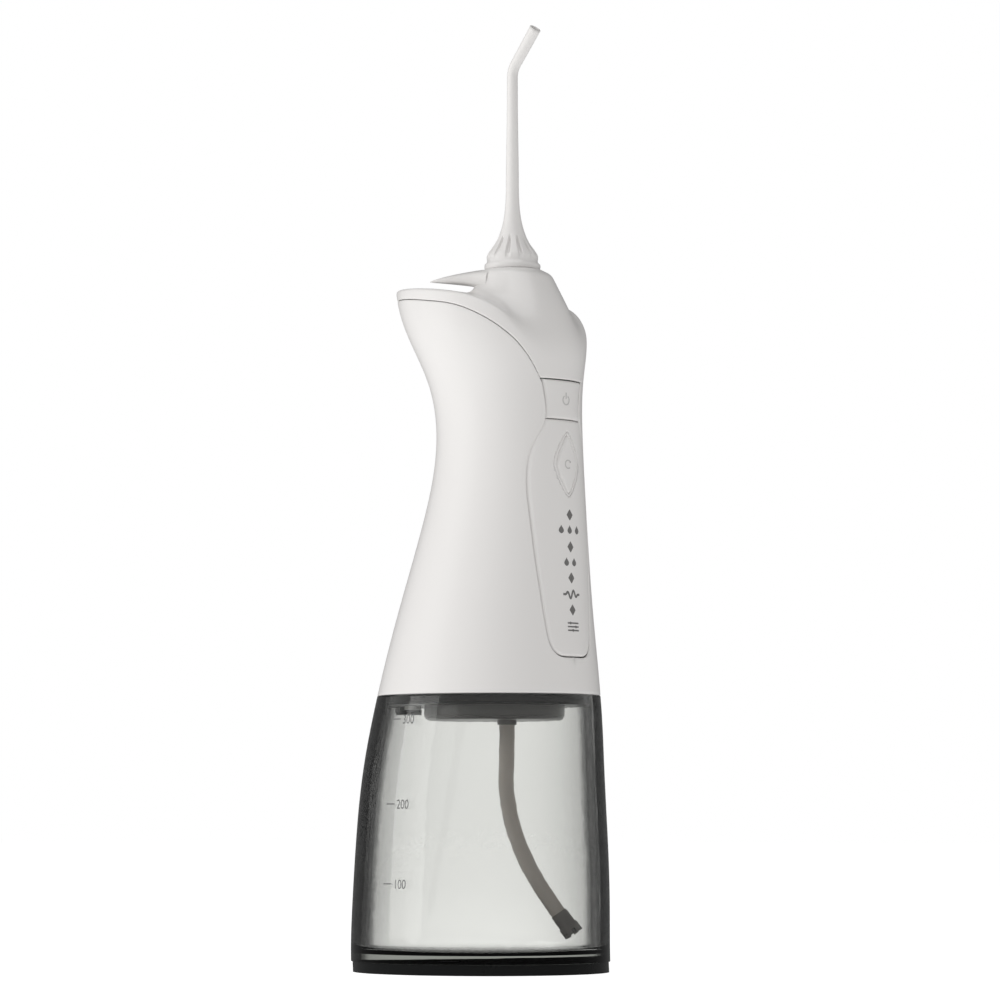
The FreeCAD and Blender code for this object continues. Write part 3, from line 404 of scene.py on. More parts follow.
# ------------------------------------------------------------------ suction hose
# A silicone hose hangs from the stub under the handle and bends to the foot of the tank, where a
# slotted filter head is pushed into its end. The route is (out along the bend, height).
HOSE_ROUTE = ((0, 78.2), (0, 68.5), (-0.5, 57), (1.8, 45.5), (6.4, 34.5), (12.4, 24.6), (16.9, 18.6))
HOSE_DIAMETER = 4.9 * MM
STUB_Y = -11 * MM
hose_way = np.array([0.42, -0.907]) / math.hypot(0.42, 0.907)
out_up = np.array(HOSE_ROUTE) * MM
route = np.stack([out_up[:, 0] * hose_way[0], STUB_Y + out_up[:, 0] * hose_way[1], out_up[:, 1]], axis=1)
line = bpy.data.curves.new("suction_tube", "CURVE")
line.dimensions = "3D"
line.bevel_depth = HOSE_DIAMETER / 2
line.bevel_resolution = 8
line.resolution_u = 20
line.use_fill_caps = True
run = line.splines.new("NURBS")
run.points.add(len(route) - 1)
run.points.foreach_set("co", np.column_stack([route, np.ones(len(route))]).ravel())
run.order_u = 3
run.use_endpoint_u = True
hose = bpy.data.objects.new("suction_tube", line)
scene.collection.objects.link(hose)
hose_silicone = finish("hose_silicone", (0.34, 0.31, 0.285), 0.42, tone=0.05, marks=0.06, grain_size=1800.0,
                       grain=0.05, Subsurface_Weight=0.15, Subsurface_Radius=(0.002, 0.0016, 0.0013))
line.materials.append(hose_silicone)
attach(hose, "handle")
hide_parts("suction_hose")
filter_nylon = finish("filter_nylon", (0.11, 0.10, 0.095), 0.5, marks=0.1, grain=0.06)
dress(filter_nylon, "hose_filter")

# ------------------------------------------------------------------ foot of the handle
# A dark tray plugs the tank's mouth with a rubber ring round it. Under it sit a grey round cover
# and the stub for the hose, and a small duckbill vent lets air into the tank.
tray_plastic = finish("tray_plastic", (0.005, 0.0055, 0.0055), 0.36, tone=0.15, marks=0.08,
                      Specular_IOR_Level=0.3)
dress(tray_plastic, "handle_base")
cover_grey = finish("cover_grey", (0.085, 0.082, 0.08), 0.34, tone=0.06, marks=0.06)
dress(cover_grey, "suction_plate", "suction_stub")
seal_rubber = finish("seal_rubber", (0.02, 0.02, 0.02), 0.62, tone=0.2, marks=0.1, grain=0.12)
dress(seal_rubber, "tank_seal", "seat_seal", "nozzle_seal", "piston_seal")
vent_rubber = finish("vent_rubber", (0.62, 0.62, 0.60), 0.55, tone=0.05, grain=0.1)
dress(vent_rubber, "vent_valve", "inlet_valve", "outlet_valve")

# ------------------------------------------------------------------ pump, drive and cell
# The works are off-the-shelf: nylon gears on a steel axle, a can motor, a piston pump in a
# moulded frame, and one wrapped lithium cell in its cradle.
nylon = finish("nylon", (0.66, 0.65, 0.60), 0.46, tone=0.05, marks=0.08, grain=0.06)
dress(nylon, "crank_gear", "motor_pinion", "connecting_rod", "piston", "valve_block")
frame_plastic = finish("frame_plastic", (0.05, 0.052, 0.055), 0.48, tone=0.1, marks=0.08, grain=0.08)
dress(frame_plastic, "pump_frame", "pump_cylinder", "battery_cradle")
steel = finish("steel", (0.60, 0.60, 0.61), 0.24, tone=0.04, marks=0.08, grain_size=4000.0, Metallic=1.0)
dress(steel, "gear_axle", "motor_shaft", "base_screws", "release_latch")
motor_steel = finish("motor_steel", (0.45, 0.46, 0.47), 0.34, tone=0.06, marks=0.1, Metallic=1.0)
dress(motor_steel, "motor")
cell_film = finish("cell_film", (0.03, 0.13, 0.27), 0.33, tone=0.05, marks=0.06)
dress(cell_film, "battery_cell")
board_lacquer = finish("board_lacquer", (0.02, 0.14, 0.06), 0.3, tone=0.12, grain_size=1500.0, grain=0.1)
dress(board_lacquer, "circuit_board")
switch_body = finish("switch_body", (0.03, 0.03, 0.03), 0.4, marks=0.08)
dress(switch_body, "tact_switches")
light_resin = finish("light_resin", (0.85, 0.83, 0.70), 0.2, tone=0.04)
dress(light_resin, "mode_leds")
clear_hose = finish("clear_hose", (0.60, 0.60, 0.57), 0.35, tone=0.05, grain=0.04)
dress(clear_hose, "outlet_hose")

# ------------------------------------------------------------------ housing
# The handle's housing is one thin-walled shell of white ABS, polished in the mould to a soft
# gloss. It is open at the front for the control panel and cut along a sweeping seam at the top.
WHITE = (0.80, 0.785, 0.77)
white_abs = finish("white_abs", WHITE, 0.30, tone=0.008, marks=0.012, grain_size=900.0, grain=0.008,
                   Coat_Weight=0.3, Coat_Roughness=0.14)
EDGE = 0.55
WALL = 2.2
MOUTH = 87.4
PANEL_GAP = 0.22
MERGE_WITHIN = 0.004
# The moulded form at its stations: (height, half width, half depth, middle front to back), in mm.
STATIONS = np.array([(0, 39.6, 42.5, 0), (22, 39.4, 42.2, 0), (44, 38.4, 41.2, -0.4), (66, 36.8, 39.4, -1.3),
                     (87.4, 34.2, 36.7, -3.3), (112, 30.2, 32.4, -5.9), (138, 25.8, 27.7, -9.5),
                     (168, 22.4, 24.1, -12.1), (189, 24.1, 25.9, -10.2), (204, 27.6, 29.6, -6.4),
                     (218, 26, 30.2, -1.4), (226, 25, 30, -0.5)])


def through(knots, values, places):
    """Natural cubic spline at places: cubics that meet with equal slope and bend at every knot, and
    have no bend at the two ends, beyond which the end cubics run on."""
    knots, values, places = (np.asarray(item, dtype=float) for item in (knots, values, places))
    gap = np.diff(knots)
    count = len(knots)
    system = np.eye(count)
    inside = np.arange(1, count - 1)
    system[inside, inside - 1] = gap[:-1]
    system[inside, inside] = 2 * (gap[:-1] + gap[1:])
    system[inside, inside + 1] = gap[1:]
    slopes = np.diff(values) / gap
    bends = np.linalg.solve(system, np.concatenate([[0], 6 * np.diff(slopes), [0]]))
    i = np.clip(np.searchsorted(knots, places) - 1, 0, count - 2)
    after = (places - knots[i]) / gap[i]
    before = 1 - after
    curve = before * values[i] + after * values[i + 1]
    bend = (before ** 3 - before) * bends[i] + (after ** 3 - after) * bends[i + 1]
    return curve + bend * gap[i] ** 2 / 6


def form(height):
    """Half width, half depth and middle of the moulded form's oval at a height, in millimetres."""
    return [through(STATIONS[:, 0], STATIONS[:, column], height) for column in (1, 2, 3)]


def on_form(turn, height, sunk=0.0):
    """Point of the form: (a sin t, m - b cos t, h) with t from the front, sunk square to the oval."""
    wide, deep, middle = form(height)
    out = np.stack([deep * np.sin(turn), -wide * np.cos(turn)], axis=-1)
    out /= np.linalg.norm(out, axis=-1, keepdims=True)
    level = np.stack([wide * np.sin(turn), middle - deep * np.cos(turn)], axis=-1)
    level = level - out * np.asarray(sunk)[..., None]
    return np.concatenate([level, np.asarray(height)[..., None]], axis=-1)


def rolled(distance, radius):
    """How far a rounded edge lies below the surface at a distance d from its border, a quarter
    circle of radius r: r - sqrt(r^2 - (r - d)^2)."""
    inside = np.clip(radius - distance, 0, radius)
    return radius - np.sqrt(radius ** 2 - inside ** 2)


def grid_faces(rows, columns, wrapped=False):
    """Faces of a grid of points in rows, closed round in a ring if wrapped."""
    i, j = np.meshgrid(np.arange(rows - 1), np.arange(columns if wrapped else columns - 1), indexing="ij")
    here, ahead = i * columns + j, i * columns + (j + 1) % columns
    return np.stack([here, ahead, ahead + columns, here + columns], -1).reshape(-1, 4)


def smooth_skin(name, points, faces, material, wall=0.0):
    """Piece from millimetre points: doubles merged, normals turned out, smooth, with a wall inward."""
    skin = add_mesh(name, np.asarray(points).reshape(-1, 3) * MM, faces)
    work = bmesh.new()
    work.from_mesh(skin.data)
    bmesh.ops.remove_doubles(work, verts=work.verts, dist=MERGE_WITHIN * MM)
    bmesh.ops.dissolve_degenerate(work, edges=work.edges, dist=MERGE_WITHIN / 4 * MM)
    bmesh.ops.recalc_face_normals(work, faces=work.faces)
    work.to_mesh(skin.data)
    work.free()
    if wall:
        solid = skin.modifiers.new("wall", "SOLIDIFY")
        solid.thickness = wall * MM
        solid.offset = -1
        solid.use_rim = True
        skin = as_applied(skin, name)
    skin.data.polygons.foreach_set("use_smooth", np.ones(len(skin.data.polygons), dtype=bool))
    skin.data.materials.append(material)
    return skin


# The seam with the head cover from the side, as (front to back, height), and the panel's right
# outline from the front, as (half width, height).
SEAM = np.array([(-33.6, 186.7), (-32.7, 191), (-31.3, 195.4), (-28.1, 200.6), (-22.2, 205.6),
                 (-17.2, 208.3), (-11.6, 210.4), (-2, 212.2), (8.3, 213.6), (18, 214.5), (34, 215)])
PANEL_TOP = 186.7
PANEL_FOOT = 99.2
OUTLINE = np.array([(3.6, 99.2), (6.2, 99.6), (8.2, 101), (9.5, 103.4), (10.2, 106.6), (11.4, 117.2),
                    (12.7, 130), (13.5, 141.8), (14, 150.9), (13.9, 156.4), (13, 162.9), (10.9, 168.5),
                    (8.2, 174), (8, 180.5), (9.2, 186.7)])


def seam_height(front_back):
    """Height of the seam at a place from front to back, on its spline."""
    return through(SEAM[:, 0], SEAM[:, 1], front_back)


run_of = np.concatenate([[0], np.cumsum(np.hypot(*np.diff(OUTLINE, axis=0).T))])


def outline_at(share, grow=0.0):
    """Panel outline at shares of its length from the foot's flat up to the top, grown sideways."""
    place = np.asarray(share) * run_of[-1]
    before, side, after = (np.stack([through(run_of, OUTLINE[:, 0], place + step),
                                     through(run_of, OUTLINE[:, 1], place + step)], axis=-1)
                           for step in (-0.05, 0, 0.05))
    ahead = after - before
    ahead /= np.linalg.norm(ahead, axis=1)[:, None]
    return side + np.stack([ahead[:, 1], -ahead[:, 0]], axis=1) * grow


FOOT, CORNER = 0.05, 0.08


def half_housing(side):
    """Half of the shell on a grid of u, front border to back, and v, mouth to seam.

    The front border runs up the middle to v = FOOT, along the panel's foot to v = CORNER, and up the
    panel's side. The turn is (1 - u) start + u pi. The height is a straight blend from mouth to seam
    plus the border's own rise times (1 - u)^6. Edges are sunk by the deepest of their roundings.
    """
    u = np.concatenate([[0, 0.001, 0.002, 0.0032, 0.005, 0.008], np.linspace(0.012, 1, 88)])
    below = np.array([0, 0.06, 0.12, 0.2, 0.3, 0.5, 0.75, 1])
    v = np.concatenate([below * FOOT, np.linspace(0.055, CORNER, 6), np.linspace(0.084, 0.992, 140),
                        1 - np.array([0.006, 0.0045, 0.0032, 0.002, 0.001, 0])])
    edge = outline_at(np.clip((v - CORNER) / 0.92, 0, 1), PANEL_GAP)
    flat = np.clip((v - FOOT) / 0.03, 0, 1) * edge[0, 0]
    across = np.where(v < CORNER, flat, edge[:, 0])
    upward = np.where(v < FOOT, MOUTH + (edge[0, 1] - MOUTH) * v / FOOT,
                      np.where(v < CORNER, edge[0, 1], edge[:, 1]))
    wide, _, _ = form(upward)
    start = np.arcsin(np.clip(across / wide, -1, 1))
    turn = start[:, None] + (np.pi - start[:, None]) * u[None, :]
    top = np.full(len(u), PANEL_TOP)
    for _ in range(12):
        _, deep, middle = form(top)
        top = seam_height(middle - deep * np.cos(turn[-1]))
    rise = upward - (MOUTH + (upward[-1] - MOUTH) * v)
    height = MOUTH + (top[None, :] - MOUTH) * v[:, None] + rise[:, None] * (1 - u[None, :]) ** 6
    aside = (turn - start[:, None]) * wide[:, None]
    past_corner = np.clip(wide[:, None] * np.sin(turn) - edge[0, 0], 0, None)
    aside = np.where(v[:, None] < CORNER, np.hypot(past_corner, edge[0, 1] - height), aside)
    under = (top[None, :] - height) * np.cos(np.arctan(np.gradient(top, turn[-1] * 27)))[None, :]
    sunk = np.maximum(np.maximum(rolled(aside, EDGE), rolled(under, EDGE)),
                      rolled(height - MOUTH, EDGE * 0.6))
    points = on_form(turn, height, sunk)
    points[..., 0] *= side
    return points


halves = [half_housing(side) for side in (1, -1)]
rows, columns = halves[0].shape[:2]
quads = grid_faces(rows, columns)
quads = np.vstack([quads, quads[:, ::-1] + rows * columns])
housing = smooth_skin("housing_shell", np.stack(halves), quads, white_abs, WALL)

# The charging hole goes square through the back wall. The soft cover closes it.
PORT_GAP = 0.2 * MM
low, high = (np.array(corner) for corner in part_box("charging_cover"))
low, high = low - PORT_GAP, high + PORT_GAP
tube = np.array([[(low[0], low[2]), (high[0], low[2]), (high[0], high[2]), (low[0], high[2])]] * 2)
tube = np.stack([tube[..., 0], np.array([[0.01] * 4, [0.06] * 4]), tube[..., 1]], axis=-1)
box_faces = [(0, 1, 5, 4), (1, 2, 6, 5), (2, 3, 7, 6), (3, 0, 4, 7), (3, 2, 1, 0), (4, 5, 6, 7)]
cutter = add_mesh("port_cutter", tube.reshape(-1, 3), box_faces)
opening = housing.modifiers.new("port", "BOOLEAN")
opening.object = cutter
opening.solver = "EXACT"
housing = as_applied(housing, "housing_shell")
bpy.data.objects.remove(cutter)
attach(housing, "handle")
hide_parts("main_housing")
port_silicone = finish("port_silicone", (0.62, 0.61, 0.60), 0.5, tone=0.03, grain=0.08)
dress(port_silicone, "charging_cover")
socket_black = finish("socket_black", (0.02, 0.02, 0.02), 0.4)
dress(socket_black, "charging_socket")

# ------------------------------------------------------------------ head cover
# The head cover is moulded in the same white ABS: a narrow rim band that follows the seam, a
# shelf behind it, and a crown that flows up from the front to carry the nozzle. The crown's ovals
# are (height, half width, half depth, middle), and the shelf's line is (front to back, height).
CROWN = np.array([(186, 25, 27.5, -10.6), (195, 23.8, 26, -11.4), (202, 20.8, 22.2, -13.3),
                  (208, 17.2, 18.2, -15.2), (216, 13.3, 14.4, -15.2), (221.75, 11.6, 12.5, -13.9),
                  (230, 9, 10, -12)])
SHELF = np.array([(-36, 189), (-32.5, 198.8), (-28.1, 205.7), (-23.7, 209.6), (-18.6, 212.4),
                  (-8, 215.3), (2.6, 216.7), (14, 217.7), (32, 218.3)])
NOZZLE_Y = -13.35
CROWN_TOP = 223.4
COLLAR_HOLE = 8.75
SEAT = 9.4


def blend_high(one, other, reach):
    """Larger of two values, plus (reach - |difference|)^2 / (4 reach) where they are nearly equal."""
    near = np.clip(reach - np.abs(one - other), 0, None)
    return np.maximum(one, other) + near ** 2 / (4 * reach)


def blend_low(one, other, reach):
    """Smaller of two values, rounded over in the same way."""
    return -blend_high(-one, -other, reach)


def cover_depth(point):
    """Depth field of the cover, below nought inside: the smaller of the shelf's and the crown's, with
    a wide fillet between them, trimmed by the moulded form's. An oval's field is (radius - 1) times
    its half width, and the crown's top falls away outside the collar's seat."""
    x, y, z = point[..., 0], point[..., 1], point[..., 2]
    wide, deep, middle = form(z)
    skin = (np.hypot(x / wide, (y - middle) / deep) - 1) * wide
    behind, line, before = (through(SHELF[:, 0], SHELF[:, 1], y + step) for step in (0.1, 0, -0.1))
    shelf = (z - line) / np.hypot(1, (behind - before) / 0.2)
    wide, deep, middle = (through(CROWN[:, 0], CROWN[:, column], z) for column in (1, 2, 3))
    crown = (np.hypot(x / wide, (y - middle) / deep) - 1) * wide * 0.85
    past_seat = np.clip(np.hypot(x, y - NOZZLE_Y) - SEAT, 0, None)
    crown = blend_high(crown, (z - CROWN_TOP + 0.5 * past_seat) * 0.85, 0.9)
    return blend_high(blend_low(shelf, crown, 3.2), skin, 1.1)


# The border runs along the seam on the right, round the front above the power button, and back on
# the left. Rays from a source inside are swept from the border up to the collar's hole, and each is
# halved in on to the surface thirty times.
SOURCE = np.array([0, -12, 178.0])
SEAM_GAP = 0.16
BORDER_POINTS = 260
lap = np.linspace(0, 1, 4001)
back_to_front = 28.4 - (28.4 + 33.6) * (1 - np.cos(np.pi * lap / 2)) ** 0.9
height = seam_height(back_to_front) + SEAM_GAP
wide, deep, middle = form(height)
across = wide * np.sqrt(np.clip(1 - ((back_to_front - middle) / deep) ** 2, 0, 1))
rim_side = np.stack([across, back_to_front, height], axis=1)
nose = np.linspace(np.arcsin(rim_side[-1, 0] / form(PANEL_TOP)[0]), 0, 200)[1:]
rim_side = np.vstack([rim_side, on_form(nose, np.full(len(nose), rim_side[-1, 2]))])
length = np.concatenate([[0], np.cumsum(np.linalg.norm(np.diff(rim_side, axis=0), axis=1))])
even = np.linspace(0, length[-1], BORDER_POINTS // 2 + 1)
border = np.stack([np.interp(even, length, rim_side[:, k]) for k in range(3)], axis=1)
border = np.vstack([border, border[-2:0:-1] * [-1, 1, 1]])
angle = np.arctan2(border[:, 0], NOZZLE_Y - border[:, 1])
collar = np.stack([COLLAR_HOLE * np.sin(angle), NOZZLE_Y - COLLAR_HOLE * np.cos(angle),
                   np.full(len(angle), CROWN_TOP)], axis=1)
first, last = border - SOURCE, collar - SOURCE
first, last = (ends / np.linalg.norm(ends, axis=1)[:, None] for ends in (first, last))
up = np.concatenate([[0, 0.0025, 0.005, 0.0085, 0.013], np.linspace(0.02, 1, 120)])[:, None, None]
ways = first[None] * (1 - up) + last[None] * up
ways /= np.linalg.norm(ways, axis=-1, keepdims=True)
near, beyond = np.full(ways.shape[:2], 5.0), np.full(ways.shape[:2], 75.0)
for _ in range(30):
    half = (near + beyond) / 2
    outside = cover_depth(SOURCE + ways * half[..., None]) > 0
    beyond = np.where(outside, half, beyond)
    near = np.where(outside, near, half)
cover_points = SOURCE + ways * near[..., None]
above_border = np.linalg.norm(cover_points - cover_points[0], axis=-1)
inward = ways * [1, 1, 0.2]
inward /= np.linalg.norm(inward, axis=-1, keepdims=True)
cover_points = cover_points - inward * rolled(above_border, EDGE)[..., None]
quads = grid_faces(len(up), len(border), wrapped=True)
cover = smooth_skin("head_shell", cover_points, quads, white_abs, WALL)
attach(cover, "handle")
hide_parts("head_cover")
dress(white_abs, "nozzle_socket", "nozzle_seat")

# ------------------------------------------------------------------ control panel and buttons
# The panel drops into the front of the housing: a violin-shaped white plate, slightly pillowed.
# The power button is the top of its outline, the mode button a raised diamond in its middle.
POWER_FOOT = 174.1
MODE_MIDDLE = 159.9
MODE_HALF = (5.9, 10.3)
MODE_GAP = 0.15
LIGHT_HEIGHTS = (143.9, 133.8, 124.0, 113.9)
RINGS = np.array([0, 0.06, 0.14, 0.24, 0.36, 0.5, 0.65, 0.8, 0.92, 1.03, 1.15, 1.27, 1.4, 1.55, 1.75, 2, 2.4,
                  3.1, 4.0])


def front_piece(name, outline, spine, swell, material, wall=1.6):
    """Piece set in the front wall, in rings from its outline inward to its spine. A ring at distance d
    is outline (1 - d / reach) + spine d / reach, on the form, lifted outward by swell(d)."""
    outline, spine = np.asarray(outline), np.asarray(spine)
    reach = np.linalg.norm(spine - outline, axis=1)
    inner = RINGS[-1] + (reach[:, None] - RINGS[-1]) * np.linspace(0.12, 1, 9)[None, :]
    rings = np.concatenate([RINGS[None, :] + 0 * reach[:, None], inner], axis=1)
    rings = np.sort(np.minimum(rings, reach[:, None]), axis=1)
    share = (rings / reach[:, None]).T[..., None]
    flat = outline[None] * (1 - share) + spine[None] * share
    wide, deep, middle = form(flat[..., 1])
    front = middle - deep * np.sqrt(np.clip(1 - (flat[..., 0] / wide) ** 2, 0, 1))
    points = np.stack([flat[..., 0], front - swell(rings.T), flat[..., 1]], axis=-1)
    return smooth_skin(name, points, grid_faces(len(flat), len(outline), wrapped=True), material, wall)


def pillow(distance):
    """Rounded edge, and behind it a shallow swell, 0.16 (1 - exp(-d / 1.6)), that levels out."""
    return 0.16 * (1 - np.exp(-distance / 1.6)) - rolled(distance, 1.0)


def step_up(distance, start, width):
    """Smooth step from 0 to 1: t^2 (3 - 2 t), with t the share of the width gone from the start."""
    t = np.clip((distance - start) / width, 0, 1)
    return t * t * (3 - 2 * t)


def loop_of(side):
    """Closed outline from its right side, running up, by mirroring it to the left."""
    left = side * [-1, 1]
    along_top = np.linspace(side[-1], left[-1], 26)[1:-1]
    along_foot = np.linspace(left[0], side[0], 16)[1:-1]
    return np.vstack([side, along_top, left[::-1], along_foot])


sides = outline_at(np.linspace(0, 1, 600))
split = np.interp(POWER_FOOT, sides[:, 1], np.linspace(0, 1, 600))
lower = outline_at(np.linspace(0, split, 220)) - [0, 0.04]
upper = outline_at(np.linspace(split, 1, 60))
upper[:, 1] = np.interp(upper[:, 1], [POWER_FOOT, PANEL_TOP], [POWER_FOOT + 0.06, PANEL_TOP - 0.05])
panel_loop, power_loop = loop_of(lower), loop_of(upper)
spine_height = np.clip(panel_loop[:, 1], PANEL_FOOT + 8, POWER_FOOT - 6)
panel_spine = np.stack([0 * spine_height, spine_height], axis=1)
power_spine = np.full_like(power_loop, [0, (POWER_FOOT + PANEL_TOP) / 2])
turn = np.linspace(0, 2 * np.pi, 161)[:-1]


def diamond(half_width, half_height, middle, power=1.36):
    """Diamond with soft corners: (|cos|^(2 / power), |sin|^(2 / power)) with their signs kept."""
    cosine, sine = np.cos(turn), np.sin(turn)
    x = half_width * np.sign(cosine) * np.abs(cosine) ** (2 / power)
    z = half_height * np.sign(sine) * np.abs(sine) ** (2 / power)
    return np.stack([x, middle + z], axis=1)


plate = front_piece("panel_plate", panel_loop, panel_spine, pillow, white_abs)


def cut_out(piece, ends, name):
    """Take the straight hole between two closed loops of millimetre points out of a piece."""
    middles = ends.mean(axis=1, keepdims=True).repeat(ends.shape[1], 1)
    tube = np.stack([middles[0], ends[0], ends[1], middles[1]])
    tool = smooth_skin("hole_tool", tube, grid_faces(4, ends.shape[1], wrapped=True), white_abs)
    hole = piece.modifiers.new("hole", "BOOLEAN")
    hole.object = tool
    hole.solver = "EXACT"
    piece = as_applied(piece, name)
    bpy.data.objects.remove(tool)
    return piece


hole = diamond(MODE_HALF[0] + MODE_GAP, MODE_HALF[1] + MODE_GAP, MODE_MIDDLE)
hole = np.stack([np.stack([hole[:, 0], np.full(len(hole), y), hole[:, 1]], axis=1) for y in (-60.0, 0.0)])
plate = cut_out(plate, hole, "panel_plate")
power = front_piece("power_cap", power_loop, power_spine, lambda d: pillow(d) - 0.05, white_abs)
mode_loop = diamond(*MODE_HALF, MODE_MIDDLE)
mode_spine = np.stack([0 * turn, MODE_MIDDLE + np.clip(mode_loop[:, 1] - MODE_MIDDLE, -4, 4)], axis=1)


def mode_relief(distance):
    """Rounded edge, a groove 0.42 exp(-((d - 1.15) / 0.24)^2) deep, and a raised middle inside it."""
    groove = 0.42 * np.exp(-((distance - 1.15) / 0.24) ** 2)
    return 0.1 - rolled(distance, 0.45) - groove + 0.22 * step_up(distance, 1.2, 0.6)


mode = front_piece("mode_cap", mode_loop, mode_spine, mode_relief, white_abs)
for piece, node, body in ((plate, "control_panel", "handle"), (power, "power_button", "power_button"),
                          (mode, "mode_button", "mode_button")):
    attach(piece, body)
    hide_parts(node)

# Four small diamond windows in grey resin, set just proud of the panel, glow when their mode is on.
WINDOW_HALF = (1.5, 1.85)
window_grey = finish("window_grey", (0.17, 0.165, 0.16), 0.28, tone=0.05, Coat_Weight=0.4)
for i, height in enumerate(LIGHT_HEIGHTS):
    loop = diamond(*WINDOW_HALF, height, 1.08)
    light = front_piece("mode_window%d" % (i + 1), loop, np.full_like(loop, [0, height]),
                        lambda d: 0.14 + 0.06 * step_up(d, 0, 0.2), window_grey, 0.8)
    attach(light, "handle")
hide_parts("light_windows")

# ------------------------------------------------------------------ panel signs
# Below each window a small sign is pad printed in grey: three drops, two drops, a pulse line and
# three sliders. The two buttons carry raised signs moulded with them, coloured grey as painted
# shade for their low relief.
around = np.linspace(0, 1, 25)


def on_front(flat):
    """Flat (across, up) points stood up to face -Y: across runs to +X."""
    return np.stack([flat[:, 0], np.full(len(flat), FAR_OUT), flat[:, 1]], axis=1)


def drop(across, up, tall):
    """Drop: a strip down its own middle, tip to foot, 1.15 (t sin(pi t))^0.8 of its height wide."""
    path = np.stack([np.full(len(around), across), up + tall * (0.5 - around)], axis=1)
    return ribbon(path, tall * 1.15 * np.sin(np.pi * around) ** 0.8 * around ** 0.8)


def bar(start, end, width):
    """Straight strip from one (across, up) point to another."""
    return ribbon(np.linspace(start, end, 12), width)


def arc(middle, radius, start, end, width):
    """Strip along a circle, from one angle to another in degrees anticlockwise from the right."""
    angles = np.radians(np.linspace(start, end, 40))
    path = np.array(middle) + radius * np.stack([np.cos(angles), np.sin(angles)], axis=1)
    return ribbon(path, width)


def joined(strips):
    """Several strips as one set of points and faces."""
    points, faces, total = [], [], 0
    for strip, quads in strips:
        points.append(strip)
        faces.append(quads + total)
        total += len(strip)
    return np.concatenate(points), np.concatenate(faces)


def pulse(up):
    """Pulse line: height 1.25 sin(2.2 x) exp(-(x / 2.4)^4), flat at both ends."""
    across = np.linspace(-3.9, 3.9, 60)
    swing = 1.25 * np.sin(across * 2.2) * np.exp(-(across / 2.4) ** 4)
    return ribbon(np.stack([across, up + swing], axis=1), 0.72)


def sliders(up):
    """Three level bars, each with its knob at another place."""
    strips = []
    for step, knob in ((1.15, -1.3), (0, 1.2), (-1.15, -0.3)):
        strips.append(bar((-2.6, up + step), (2.6, up + step), 0.46))
        strips.append(arc((knob, up + step), 0.22, 0, 360, 0.44))
    return joined(strips)


panel_ink = finish("panel_ink", (0.17, 0.168, 0.165), 0.55, tone=0.06, grain_size=6000.0, grain=0.08)
signs = {
    "sign_strong": joined([drop(x, 139.3, 2.8) for x in (-3.9, -0.2, 3.5)]),
    "sign_gentle": joined([drop(x, 129.1, 2.8) for x in (-2, 1.6)]),
    "sign_pulse": pulse(118.8),
    "sign_own": sliders(108.6),
}


def sign_on(name, strip, piece, lift, thickness=0.0):
    """Sign pressed on to a front piece along +Y, its lift and thickness in millimetres."""
    flat, faces = strip
    return lay_on(add_mesh(name, on_front(flat * MM), faces), piece, "Y", lift * MM, name, thickness * MM)


for name, strip in signs.items():
    sign = sign_on(name, strip, plate, 0.03)
    sign.data.materials.append(panel_ink)
    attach(sign, "handle")
# Painted shade: the raised signs are coloured greyer than the white buttons they are moulded with.
raised_sign_painted_shade = finish("raised_sign_painted_shade", (0.56, 0.55, 0.54), 0.34, tone=0.02, Coat_Weight=0.2)
power_sign = joined([arc((-0.3, 180.3), 1.45, 122, 418, 0.4), bar((-0.3, 180.7), (-0.3, 182.7), 0.4)])
mode_sign = joined([arc((-0.3, 159.9), 1.3, 30, 310, 0.34), arc((0.75, 160.7), 0.16, 0, 360, 0.3)])
for name, strip, piece, body in (("power_sign", power_sign, power, "power_button"),
                                 ("mode_sign", mode_sign, mode, "mode_button")):
    sign = sign_on(name, strip, piece, 0.005, 0.08)
    sign.data.materials.append(raised_sign_painted_shade)
    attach(sign, body)

# ------------------------------------------------------------------ release button
# A pointed wedge floats over the shelf behind the nozzle and reaches round the collar. Pressing
# its point tips it and frees the nozzle. It is moulded in white ABS with softly rounded sides.
# Each section across it is a squared oval, |cos|^s and |sin|^s, between its foot and its top.
back, front = 22.0, -13.0
COLLAR_ROOM = 9.8
station = (1 - np.cos(np.linspace(0, np.pi, 90))) / 2
place = back + (front - back) * station
broad = through([-14, -7.2, 0, 5.7, 15, 22], [12.7, 11.8, 9.3, 6.8, 2.9, 0.15], place)
top = 222.9 + 1.15 * (1 - np.exp(-(back - place) / 7))
foot = through([-14, -7.2, 5.7, 15, 22], [215.3, 217.2, 220.1, 221.6, 222.6], place)
ring = np.linspace(0, 2 * np.pi, 97)[:-1]
squared = 2 / 2.9
across = np.sign(np.cos(ring)) * np.abs(np.cos(ring)) ** squared
upward = np.sign(np.sin(ring)) * np.abs(np.sin(ring)) ** squared
droop = 0.35 * (broad[:, None] / 10) * across[None, :] ** 2
rise = ((top + foot) / 2)[:, None] + ((top - foot) / 2)[:, None] * upward[None, :] - droop
wedge_points = np.stack([broad[:, None] * across[None, :], place[:, None] + 0 * ring[None, :], rise], axis=-1)
caps = [wedge_points[end].mean(axis=0, keepdims=True).repeat(len(ring), 0)[None] for end in (0, -1)]
wedge_points = np.concatenate([caps[0], wedge_points, caps[1]])
quads = grid_faces(len(wedge_points), len(ring), wrapped=True)
wedge = smooth_skin("release_wedge", wedge_points, quads, white_abs)
hole = np.stack([np.stack([COLLAR_ROOM * np.cos(ring), NOZZLE_Y + COLLAR_ROOM * np.sin(ring),
                           np.full(len(ring), z)], axis=1) for z in (205.0, 235.0)])
wedge = cut_out(wedge, hole, "release_wedge")
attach(wedge, "release_button")
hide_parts("release_button")

